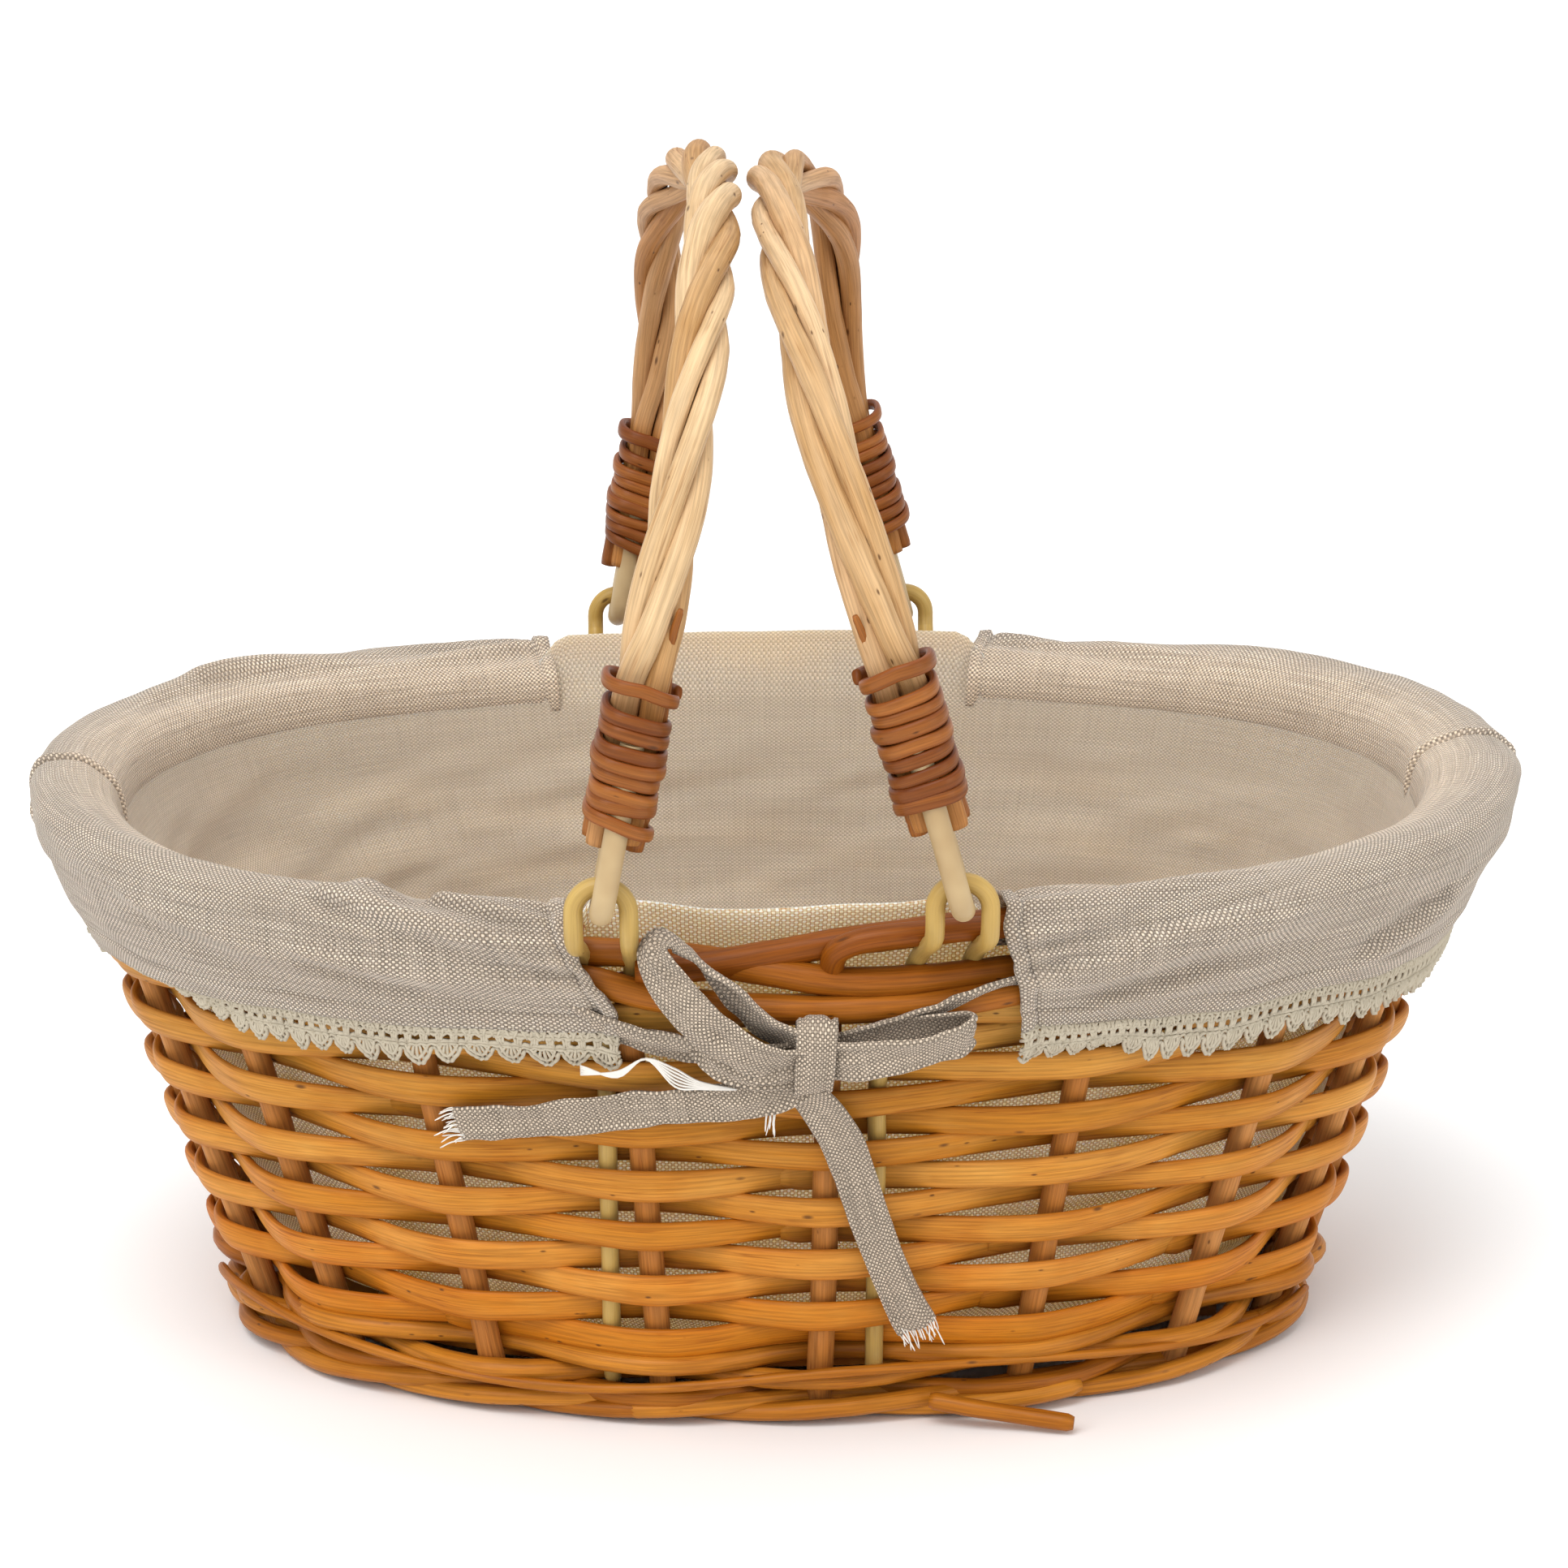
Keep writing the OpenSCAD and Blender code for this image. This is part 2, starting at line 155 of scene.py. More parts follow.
class Shape:
    """Surfaces in millimetres that become one mesh, with UVs in metres and a tint for each point."""

    def __init__(self):
        self.points, self.faces, self.uvs, self.tints, self.slots = [], [], [], [], []
        self.count = 0

    def grid(self, points, u, v, tint, wrap=False, close=False, slot=0):
        """A surface of n by m points. u and v run on past the last point where it is closed."""
        n, m = points.shape[:2]
        rows, cols = (n if close else n - 1), (m if wrap else m - 1)
        u, v = np.broadcast_arrays(u, v)
        i, j = np.meshgrid(np.arange(rows), np.arange(cols), indexing="ij")
        a, b = (i + 1) % n, (j + 1) % m
        quads = np.stack([i * m + j, i * m + b, a * m + b, a * m + j], -1).reshape(-1, 4)
        uv = np.stack([u, v], -1)
        corners = np.stack([uv[i, j], uv[i, j + 1], uv[i + 1, j + 1], uv[i + 1, j]], 2)
        self.faces += (quads + self.count).tolist()
        self.uvs.append(corners.reshape(-1, 2) * MM)
        self.slots += [slot] * len(quads)
        self.points.append(points.reshape(-1, 3))
        self.tints.append(np.broadcast_to(tint, (n, m, 4)).reshape(-1, 4))
        self.count += n * m

    def caps(self, n, m, u, v, slot=0):
        """Flat ends for the wrapped surface of n by m points that was added last."""
        start = self.count - n * m
        last = start + (n - 1) * m
        self.faces += [list(range(start + m - 1, start - 1, -1)), list(range(last, last + m))]
        self.uvs.append(np.full((2 * m, 2), (u * MM, v * MM)))
        self.slots += [slot, slot]

    def piece(self, name, materials, slot, body, replaces=()):
        mesh = bpy.data.meshes.new(name)
        mesh.from_pydata((np.vstack(self.points) * MM).tolist(), [], self.faces)
        layer = mesh.uv_layers.new(name="UVMap")
        layer.data.foreach_set("uv", np.vstack(self.uvs).ravel())
        tint = mesh.color_attributes.new("tint", "FLOAT_COLOR", "POINT")
        tint.data.foreach_set("color", np.vstack(self.tints).ravel())
        mesh.polygons.foreach_set("material_index", self.slots)
        mesh.polygons.foreach_set("use_smooth", [True] * len(self.faces))
        for material in materials:
            mesh.materials.append(material)
        mesh.validate()
        mesh.update()
        obj = bpy.data.objects.new(name, mesh)
        bpy.context.scene.collection.objects.link(obj)
        if body:
            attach(obj, body)
        if replaces:
            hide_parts(*replaces)
        return obj


def frames(path, hint):
    """Two directions across a path, turned as little as possible from point to point."""
    along = unit(np.gradient(path, axis=0))
    side = np.empty_like(path)
    side[0] = unit(np.cross(along[0], np.cross(hint, along[0])))
    for i in range(1, len(path)):
        side[i] = unit(side[i - 1] - along[i] * np.dot(side[i - 1], along[i]))
    return side, np.cross(along, side)


def sweep(shape, path, section, across, tint, slot=0, u0=0.0):
    """Sweeps closed sections of m points along a path, given two directions across it."""
    a, b = across
    section = np.broadcast_to(section, (len(path),) + section.shape[-2:])
    rings = path[:, None] + section[..., :1] * a[:, None] + section[..., 1:] * b[:, None]
    m = rings.shape[1]
    run = np.concatenate([[0], np.cumsum(np.linalg.norm(np.diff(path, axis=0), axis=1))]) + u0
    closed = np.vstack([section[len(path) // 2], section[len(path) // 2][:1]])
    round_it = np.concatenate([[0], np.cumsum(np.linalg.norm(np.diff(closed, axis=0), axis=1))])
    shape.grid(rings, run[:, None], round_it[None], tint, wrap=True, slot=slot)
    shape.caps(len(path), m, u0, 0, slot)


def circle(sides):
    w = np.arange(sides) / sides * 2 * math.pi
    return np.stack([np.cos(w), np.sin(w)], -1)


def stick(shape, path, radius, seed, sides=12, hint=(0.31, 0.2, 0.93), rough=0.05, ends=0.75, slot=0, hue=None):
    """A round rod with the small swellings of a real one. radius is a number or one for each point."""
    path = np.asarray(path, float)
    n = len(path)
    run = np.concatenate([[0], np.cumsum(np.linalg.norm(np.diff(path, axis=0), axis=1))])
    grow = 1 + rough * value_noise(run / 23, seed * 1.7, seed) + rough * 0.6 * value_noise(run / 6, 3.1, seed + 1)
    grow[0] *= ends
    grow[-1] *= ends
    w = np.arange(sides) / sides
    lumps = 1 + rough * 0.5 * value_noise(run[:, None] / 14, w[None] * 6 + seed, seed + 2)
    section = circle(sides)[None] * (np.broadcast_to(radius, n) * grow)[:, None, None] * lumps[..., None]
    r = rng(seed).random(2)
    tint = np.zeros((n, sides, 4))
    tint[..., 0], tint[..., 1], tint[..., 3] = r[0], r[1], 1
    if hue is not None:
        tint[..., 1] = hue[:, None]
    sweep(shape, path, section, frames(path, np.array(hint)), tint, slot=slot, u0=1000 * r[0])


# ---------------------------------------------------------------- materials

def graph(name):
    material = bpy.data.materials.new(name)
    material.use_nodes = True
    tree = material.node_tree
    shader = tree.nodes["Principled BSDF"]

    def node(kind, *inputs, out=0, **settings):
        """Adds a node. Inputs are numbers, colours or sockets, in the node's order; None skips one."""
        made = tree.nodes.new("ShaderNode" + kind)
        for key, value in settings.items():
            setattr(made, key, value)
        for socket, value in zip(made.inputs, inputs):
            if value is None:
                continue
            if isinstance(value, bpy.types.NodeSocket):
                tree.links.new(value, socket)
            else:
                socket.default_value = value
        return made.outputs[out]

    return material, tree, shader, node


def make_tools(node, tree):
    def maths(operation, a, b=None, c=None):
        return node("Math", a, b, c, operation=operation)

    def ramp(value, *stops):
        made = tree.nodes.new("ShaderNodeValToRGB")
        tree.links.new(value, made.inputs[0])
        elements = made.color_ramp.elements
        while len(elements) < len(stops):
            elements.new(0.5)
        for element, (place, colour) in zip(elements, stops):
            element.position = place
            element.color = (*colour, 1) if len(colour) == 3 else colour
        return made.outputs[0]

    def mix(factor, a, b, blend="MIX"):
        made = tree.nodes.new("ShaderNodeMix")
        made.data_type = "RGBA"
        made.blend_type = blend
        for index, value in ((0, factor), (6, a), (7, b)):
            if isinstance(value, bpy.types.NodeSocket):
                tree.links.new(value, made.inputs[index])
            elif isinstance(value, (int, float)):
                made.inputs[index].default_value = value if index == 0 else (value, value, value, 1)
            else:
                made.inputs[index].default_value = (*value, 1)
        return made.outputs[2]

    return maths, ramp, mix


def grey(v):
    return (v, v, v)


def willow(name, light, deep, stain, rough=0.46, coat=0.06, streak=1.0, knots=0.5, fade=None):
    """Peeled willow or cane: long grain, darker streaks and knots, stain, painted shade along the edges of strips and,
    where fade is given, a painted warm glow low on the wall.
    """
    material, tree, shader, node = graph(name)
    maths, ramp, mix = make_tools(node, tree)
    uv = node("TexCoord", out=2)
    place = node("TexCoord", out=3)
    tint = node("Attribute", attribute_name="tint")
    parts = tree.nodes.new("ShaderNodeSeparateColor")
    tree.links.new(tint, parts.inputs[0])
    shade, hue, edge = parts.outputs[0], parts.outputs[1], parts.outputs[2]

    def noise(u, v, detail):
        return node("TexNoise", node("Mapping", uv, None, None, (u, v, 1)), None, 1.0, detail, 0.6)

    fine, broad, vein = noise(45, 1500, 4.0), noise(14, 260, 3.0), noise(11, 430, 2.0)
    blotch = node("TexNoise", place, None, 38.0, 3.0, 0.6)
    tone = maths("MULTIPLY_ADD", shade, 0.5, 0.0)
    tone = maths("MULTIPLY_ADD", broad, 0.6, tone)
    tone = maths("MULTIPLY_ADD", blotch, 0.4, tone)
    base = ramp(tone, (0.45, light), (1.0, deep))
    # Painted warm light: below the given heights the colour turns a deeper orange in blotches, standing for warm light
    # bounced low on the basket
    if fade:
        height = tree.nodes.new("ShaderNodeSeparateXYZ")
        tree.links.new(place, height.inputs[0])
        low, high, glow_colour = fade
        glow_share = node("MapRange", height.outputs[2], low, high, 1.0, 0.0)
        glow_share = maths("MULTIPLY", glow_share, maths("MULTIPLY_ADD", blotch, 0.9, 0.4))
        base = mix(glow_share, base, glow_colour)
    base = mix(maths("MULTIPLY", hue, 0.4), base, stain)
    lines = ramp(fine, (0.36, grey(0.62)), (0.6, grey(1.1)))
    base = mix(0.7 * streak, base, mix(1.0, base, lines, "MULTIPLY"))
    # Thin veins follow the places where the long noise crosses its middle
    thin = node("MapRange", maths("ABSOLUTE", maths("SUBTRACT", vein, 0.5)), 0.0, 0.022, 1.0, 0.0)
    patch = node("MapRange", blotch, 0.42, 0.6, 0.0, 0.6 * streak)
    base = mix(maths("MULTIPLY", thin, patch), base, mix(1.0, base, (0.5, 0.34, 0.2), "MULTIPLY"))
    # Painted shade: the edge mask darkens the edges of strips where their neighbours shade them
    base = mix(maths("MULTIPLY", edge, 0.7), base, mix(1.0, base, (0.72, 0.46, 0.26), "MULTIPLY"))
    dark = 0.0
    for u, v, share, size in ((105, 290, 0.16 * knots, 0.2), (260, 700, 0.07 * knots, 0.26)):
        cells = tree.nodes.new("ShaderNodeTexVoronoi")
        tree.links.new(node("Mapping", uv, None, None, (u, v, 1)), cells.inputs["Vector"])
        cells.inputs["Scale"].default_value = 1.0
        pick = tree.nodes.new("ShaderNodeSeparateColor")
        tree.links.new(cells.outputs["Color"], pick.inputs[0])
        chosen = maths("GREATER_THAN", pick.outputs[0], 1 - share)
        ring = node("MapRange", cells.outputs["Distance"], 0.4 * size, size, 1.0, 0.0)
        knot = maths("MULTIPLY", ring, chosen)
        base = mix(maths("MULTIPLY", knot, 0.8), base, (0.07, 0.024, 0.007))
        dark = maths("ADD", knot, dark)
    tree.links.new(base, shader.inputs["Base Color"])
    gloss = ramp(fine, (0.3, grey(min(rough + 0.12, 1))), (0.75, grey(rough - 0.05)))
    tree.links.new(gloss, shader.inputs["Roughness"])
    height = maths("MULTIPLY_ADD", fine, 0.5, maths("MULTIPLY", broad, 0.8))
    height = maths("SUBTRACT", height, maths("MULTIPLY", dark, 0.6))
    bump = tree.nodes.new("ShaderNodeBump")
    bump.inputs["Strength"].default_value = 0.6
    bump.inputs["Distance"].default_value = 0.0004
    tree.links.new(height, bump.inputs["Height"])
    tree.links.new(bump.outputs[0], shader.inputs["Normal"])
    shader.inputs["Coat Weight"].default_value = coat
    shader.inputs["Coat Roughness"].default_value = 0.3
    shader.inputs["Specular IOR Level"].default_value = 0.13
    return material


def linen(name, thread, gap, contrast=1.0, warm=None, inner=None, glow=0.0, pitch=(0.62, 0.5)):
    """Plain woven linen: staggered floats of uneven threads, with painted shade in the gaps between them and on threads
    passing under.
    """
    material, tree, shader, node = graph(name)
    maths, ramp, mix = make_tools(node, tree)
    uv = node("TexCoord", out=2)
    place = node("TexCoord", out=3)
    tint = node("Attribute", attribute_name="tint")
    parts = tree.nodes.new("ShaderNodeSeparateColor")
    tree.links.new(tint, parts.inputs[0])
    inside, seam = parts.outputs[1], parts.outputs[2]
    wobble = node("TexNoise", node("Mapping", uv, None, None, (90, 90, 1)), None, 1.0, 2.0, 0.5, out=1)
    bent = node("VectorMath", uv, node("VectorMath", wobble, (0.0012, 0.0012, 0), operation="MULTIPLY"),
                operation="ADD")
    axes = tree.nodes.new("ShaderNodeSeparateXYZ")
    tree.links.new(bent, axes.inputs[0])
    warp = maths("SINE", maths("MULTIPLY", axes.outputs[0], math.pi / (pitch[0] * MM)))
    weft = maths("SINE", maths("MULTIPLY", axes.outputs[1], math.pi / (pitch[1] * MM)))
    product = maths("MULTIPLY", warp, weft)
    over = node("MapRange", product, -0.3, 0.3, 0.0, 1.0)
    cell = maths("POWER", maths("ABSOLUTE", product), 0.5)
    slub_u = node("TexNoise", node("Mapping", uv, None, None, (35, 1900, 1)), None, 1.0, 3.0, 0.6)
    slub_v = node("TexNoise", node("Mapping", uv, None, None, (1700, 35, 1)), None, 1.0, 3.0, 0.6)
    slub = mix(over, slub_v, slub_u)
    fold = node("TexNoise", place, None, 22.0, 3.0, 0.55)
    yarn = mix(maths("MULTIPLY", fold, 0.5), thread, warm or thread)
    hollow = gap
    # Where the inside mask is set, yarn and gaps take the lighter inner colours, with less painted shade in the gaps
    if inner:
        yarn = mix(inside, yarn, inner[0])
        hollow = mix(inside, gap, inner[1])
    c = contrast
    # Painted shade and light on the weave: threads are darkened where they pass under and lightened where they float on
    # top
    yarn = mix(1.0, yarn, mix(over, grey(1 - 0.36 * min(c, 1.4)), grey(1 + 0.14 * c)), "MULTIPLY")
    yarn = mix(1.0, yarn, mix(node("MapRange", slub, 0.3, 0.7, 0.0, 1.0), grey(1 - 0.24 * c),
                              grey(1 + 0.16 * c)), "MULTIPLY")
    # Painted shade: the gaps between threads take the dark gap colour
    filled = node("MapRange", cell, 0.12, 0.62, 1 - min(c, 1.0) * 0.95, 1.0)
    colour = mix(filled, hollow, yarn)
    colour = mix(maths("MULTIPLY", seam, 0.75), colour, mix(1.0, colour, (0.3, 0.25, 0.2), "MULTIPLY"))
    tree.links.new(colour, shader.inputs["Base Color"])
    height = maths("MULTIPLY_ADD", slub, 0.6, maths("MULTIPLY_ADD", over, 0.5, cell))
    bump = tree.nodes.new("ShaderNodeBump")
    bump.inputs["Strength"].default_value = 0.55
    bump.inputs["Distance"].default_value = 0.0004
    tree.links.new(height, bump.inputs["Height"])
    tree.links.new(bump.outputs[0], shader.inputs["Normal"])
    shader.inputs["Roughness"].default_value = 0.92
    shader.inputs["Specular IOR Level"].default_value = 0.15
    shader.inputs["Sheen Weight"].default_value = 0.15
    shader.inputs["Sheen Roughness"].default_value = 0.5
    if glow:
        shader.inputs["Subsurface Weight"].default_value = glow
        shader.inputs["Subsurface Radius"].default_value = (0.005, 0.0036, 0.0022)
        shader.inputs["Subsurface Scale"].default_value = 1.0
    return material


def plain(name, colour, other, scale, rough, bump_depth=0.0003):
    """A nearly even surface with small mottling, for thread and the floor."""
    material, tree, shader, node = graph(name)
    maths, ramp, mix = make_tools(node, tree)
    place = node("TexCoord", out=3)
    mottle = node("TexNoise", place, None, scale, 4.0, 0.6)
    tree.links.new(mix(mottle, colour, other), shader.inputs["Base Color"])
    bump = tree.nodes.new("ShaderNodeBump")
    bump.inputs["Strength"].default_value = 0.3
    bump.inputs["Distance"].default_value = bump_depth
    tree.links.new(mottle, bump.inputs["Height"])
    tree.links.new(bump.outputs[0], shader.inputs["Normal"])
    shader.inputs["Roughness"].default_value = rough
    return material


# The weavers' fade is painted warm light: the lowest rows turn a deeper orange
WEAVER = willow("weaver_willow", (0.69, 0.385, 0.09), (0.4, 0.165, 0.014), (0.5, 0.19, 0.014),
                fade=(0.02, 0.12, (0.55, 0.165, 0.006)))
STAKE = willow("stake_willow", (0.57, 0.265, 0.08), (0.4, 0.145, 0.026), (0.45, 0.17, 0.04), knots=0.2)
FOOT = willow("foot_willow", (0.6, 0.24, 0.025), (0.31, 0.09, 0.005), (0.43, 0.15, 0.008), rough=0.4, coat=0.12)
BORDER = willow("border_willow", (0.4, 0.13, 0.011), (0.2, 0.048, 0.002), (0.28, 0.08, 0.005), rough=0.4, coat=0.1)
HANDLE = willow("handle_willow", (0.7, 0.5, 0.29), (0.45, 0.26, 0.1), (0.42, 0.175, 0.045), knots=0.9)
BINDING = willow("binding_cane", (0.38, 0.138, 0.028), (0.14, 0.036, 0.006), (0.28, 0.09, 0.018), rough=0.38,
                 coat=0.12, knots=0.3)
YELLOW = willow("yellow_cane", (0.54, 0.37, 0.12), (0.42, 0.26, 0.06), (0.42, 0.25, 0.06), rough=0.34,
                coat=0.25, knots=0.1, streak=0.4)
CREAM = willow("cream_cane", (0.5, 0.365, 0.195), (0.38, 0.25, 0.11), (0.4, 0.26, 0.11), rough=0.38,
               coat=0.2, knots=0.1, streak=0.5)
# INNER is the cloth's own colour inside the basket; the flaps' linen below is the same cloth painted a little darker
# and warmer, with much deeper painted shade in its weave
INNER = ((0.64, 0.515, 0.395), (0.5, 0.39, 0.29))
LINEN = linen("linen", (0.58, 0.495, 0.405), (0.09, 0.055, 0.032), contrast=2.0, warm=(0.48, 0.385, 0.29),
              inner=INNER, glow=0.25, pitch=(0.72, 0.56))
LINEN_IN = linen("linen_inside", INNER[0], INNER[1], contrast=0.8, warm=(0.6, 0.45, 0.33), glow=0.5)
# Painted light: the liner's outer face, seen between the weavers, is the same cloth painted far lighter and warmer with
# deep orange gaps, standing for light shining through it from inside
LINEN_OUT_BACKLIT = linen("linen_mesh", (1.0, 0.92, 0.74), (0.26, 0.08, 0.01), contrast=1.3, warm=(1.0, 0.8, 0.5),
                  glow=1.0, pitch=(0.85, 0.7))
RIBBON = linen("ribbon", (0.57, 0.475, 0.37), (0.06, 0.036, 0.02), contrast=2.1, warm=(0.43, 0.345, 0.265),
               pitch=(0.7, 0.6))
LACE = plain("lace_cotton", (0.53, 0.47, 0.365), (0.4, 0.345, 0.25), 700.0, 0.85)
FRAY = plain("frayed_thread", (0.84, 0.81, 0.76), (0.7, 0.66, 0.59), 900.0, 0.8)
FLOOR = plain("floor", (0.94, 0.94, 0.94), (0.92, 0.92, 0.92), 6.0, 0.7, 0.0001)


# ---------------------------------------------------------------- camera, light and floor

CAMERA_DISTANCE = 1228.1
CAMERA_ELEVATION = 15.71
CAMERA_YAW = -1.18
CAMERA_ROLL = -0.28
CAMERA_TARGET = (3.69, 0.0, 141.88)
CAMERA_LENS = 104.54


def set_camera():
    e, yaw, roll = (math.radians(v) for v in (CAMERA_ELEVATION, CAMERA_YAW, CAMERA_ROLL))
    back = Vector((math.sin(yaw) * math.cos(e), -math.cos(yaw) * math.cos(e), math.sin(e)))
    right = (-back).cross(Vector((0, 0, 1))).normalized()
    up = right.cross(-back)
    right, up = right * math.cos(roll) + up * math.sin(roll), up * math.cos(roll) - right * math.sin(roll)
    place = (Vector(CAMERA_TARGET) + back * CAMERA_DISTANCE) * MM
    data = bpy.data.cameras.new("camera")
    data.sensor_width = 36
    data.lens = CAMERA_LENS
    data.clip_end = 50
    camera = bpy.data.objects.new("camera", data)
    turn = Matrix((right, up, back)).transposed().to_4x4()
    camera.matrix_world = Matrix.Translation(place) @ turn
    bpy.context.scene.collection.objects.link(camera)
    bpy.context.scene.camera = camera


def softbox(name, place, size, power, colour=(1, 1, 1), target=(0, 0, 0.12)):
    data = bpy.data.lights.new(name, "AREA")
    data.shape = "RECTANGLE"
    data.size, data.size_y = size
    data.energy = power
    data.color = colour
    lamp = bpy.data.objects.new(name, data)
    lamp.location = place
    lamp.rotation_euler = (Vector(target) - Vector(place)).to_track_quat("-Z", "Y").to_euler()
    bpy.context.scene.collection.objects.link(lamp)


def set_studio():
    world = bpy.data.worlds.new("studio")
    bpy.context.scene.world = world
    world.use_nodes = True
    world.node_tree.nodes["Background"].inputs[0].default_value = (1, 1, 1, 1)
    world.node_tree.nodes["Background"].inputs[1].default_value = 0.8
    bpy.context.scene.view_settings.view_transform = "Standard"
    sun = bpy.data.lights.new("sun", "SUN")
    sun.energy = 1.5
    sun.angle = math.radians(35)
    lamp = bpy.data.objects.new("sun", sun)
    lamp.rotation_euler = Vector((0.22, 0.5, -1.0)).to_track_quat("-Z", "Y").to_euler()
    bpy.context.scene.collection.objects.link(lamp)
    softbox("key", (-1.3, -1.5, 1.2), (0.9, 1.2), 11)
    softbox("fill", (1.6, -1.3, 0.9), (0.9, 1.2), 8)
    softbox("top", (0.1, 0.5, 2.0), (1.8, 1.4), 10)
    mesh = bpy.data.meshes.new("floor")
    half, steps = 14.0, 8
    line = np.linspace(-half, half, steps + 1)
    points = [(x, y, -0.0002) for x in line for y in line]
    w = steps + 1
    mesh.from_pydata(points, [], [(i * w + j, (i + 1) * w + j, (i + 1) * w + j + 1, i * w + j + 1)
                                  for i in range(steps) for j in range(steps)])
    mesh.materials.append(FLOOR)
    floor = bpy.data.objects.new("floor", mesh)
    bpy.context.scene.collection.objects.link(floor)


# ---------------------------------------------------------------- woven wall

def weaver_section(t, h):
    """Half-round section: a bulging outer face and a slightly hollow back."""
    w = np.radians(np.linspace(-90, 90, 13))
    outer = np.stack([np.cos(w) ** 0.75 * 0.62 - 0.12, np.sin(w) * 0.5], -1)
    inner = np.array([[-0.34, 0.44], [-0.5, 0.36], [-0.4, 0.14], [-0.4, -0.14], [-0.5, -0.36], [-0.34, -0.44]])
    return np.vstack([outer, inner]) * [t, h]


def weaver(shape, start, end, row, z, amplitude, h, t, seed, tuck=0.0, loose=0.0):
    """One flat weaver that passes in front of a stake and behind the next, from count start to end."""
    random = rng(seed)
    steps = int(round((end - start) * 18)) + 1
    c = np.linspace(start, end, steps)
    angle = count_angle(c)
    wave = np.cos(math.pi * (c + row))
    phase = (c + row) % 2
    triangle = 1 - 2 * np.abs(phase - np.round(phase / 2) * 2)
    kinks = random.random(80) ** 0.9 * 0.85
    kink = np.interp(c, np.arange(80) - 30, kinks)
    e = amplitude * ((1 - kink) * wave + kink * np.clip(triangle * 1.12, -1, 1))
    lift = 0.95 * value_noise(c * 0.9, row * 3.7, seed + 5)
    e = e - tuck * smooth(c, end - 0.9, end) + loose * smooth(c, end - 0.35, end)
    grow = 1 + 0.11 * value_noise(c * 0.6, 0.4, seed + 6) + 0.12 * wave ** 2
    ends = smooth(c, start, start + 0.1) * 0.35 + 0.65
    taper = (1 - 0.35 * smooth(c, end - 1.2, end)) * ends
    tall = h * grow * taper
    thick = t * (1 + 0.1 * value_noise(c * 0.8, 2.2, seed + 7)) * (0.55 + 0.45 * taper)
    tilt = np.radians(6.0) * value_noise(c * 1.1, 5.0, seed + 8) + np.radians(4) * wave
    base = weaver_section(1.0, 1.0)
    n_part = base[None, :, 0] * thick[:, None]
    z_part = base[None, :, 1] * tall[:, None]
    out = n_part * np.cos(tilt)[:, None] + z_part * np.sin(tilt)[:, None]
    up = z_part * np.cos(tilt)[:, None] - n_part * np.sin(tilt)[:, None]
    rings = wall(angle[:, None], z + lift[:, None] + up, e[:, None] + out)
    middle = wall(angle, z, e)
    run = np.concatenate([[0], np.cumsum(np.linalg.norm(np.diff(middle, axis=0), axis=1))])
    r = random.random(2)
    tint = np.zeros((steps, len(base), 4))
    tint[..., 0], tint[..., 1], tint[..., 3] = r[0], r[1], 1
    # Painted shade: the tint's third channel darkens the top and bottom edges of the strip, where the rows shade each
    # other
    tint[..., 2] = np.clip(np.abs(base[:, 1]) * 2.2 - 0.25, 0, 1)[None] ** 2
    round_it = np.concatenate([[0], np.cumsum(np.linalg.norm(np.diff(
        np.vstack([base, base[:1]]) * [t, h], axis=0), axis=1))])
    shape.grid(rings, (run + 1000 * r[0])[:, None], (round_it + 40 * r[1])[None], tint, wrap=True)
    shape.caps(steps, len(base), 1000 * r[0], 0)


def weave_rows():
    for row in range(1, ROWS + 1):
        shape = Shape()
        random = rng(500 + row)
        z = ROW_FIRST_Z + ROW_PITCH * (row - 1)
        splices = 3 + row % 2
        # A splice lies behind a stake, where the new weaver starts under the old one
        first = (row * 7) % STAKES
        marks = [first + int(round(STAKES / splices * k)) for k in range(splices)]
        marks = [m + (1 if (m + row) % 2 == 0 else 0) for m in marks]
        marks.append(marks[0] + STAKES)
        for k, (start, end) in enumerate(zip(marks, marks[1:])):
            weaver(shape, start - 0.25, end + 0.42, row, z, 5.2, WEAVER_H, WEAVER_T,
                   1000 + row * 10 + k, tuck=1.7, loose=random.random() * 1.2)
        shape.piece(f"weave_{row:02d}", [WEAVER], "weaver_willow", "basket", [f"weave_row_{row:02d}"])


def stakes():
    """Uprights; most of them bend over at the top and run on along the border."""
    shape = Shape()
    low = np.linspace(2.2, 122, 20)
    for i in range(STAKES):
        bent = i % 10 != 9
        bend_c = np.array([0, 0, 0.03, 0.14, 0.36, 0.62, 0.85]) if bent else np.array([0, 0])
        bend_z = np.array([130, 135.5, 139.2, 141.6, 142.7, 142.8, 141.8]) if bent else np.array([126, 130])
        bend_e = np.array([1.5, 3.6, 4.6, 4.8, 4.4, 3.2, 1.5]) if bent else np.array([0.4, 0.8])
        route = np.stack([np.concatenate([0 * low, bend_c]), np.concatenate([low, bend_z]),
                          np.concatenate([0 * low, bend_e])], -1)
        route = spline(route, 3)
        sway = 0.5 * value_noise(route[:, 1] / 40, i * 2.3, 70 + i)
        path = wall(count_angle(route[:, 0] + i) + sway * 0.3, route[:, 1], route[:, 2] + 0.25 * sway)
        stick(shape, path, STAKE_R * (1.04 - 0.0009 * route[:, 1]), 100 + i, sides=16, rough=0.035)
    shape.piece("uprights", [STAKE, BORDER], "stake_willow", "basket", ["stakes"])
    mesh = bpy.data.objects["uprights"].data
    high = np.empty(len(mesh.polygons) * 3)
    mesh.polygons.foreach_get("center", high)
    mesh.polygons.foreach_set("material_index", (high[2::3] > 0.124).astype(int).tolist())


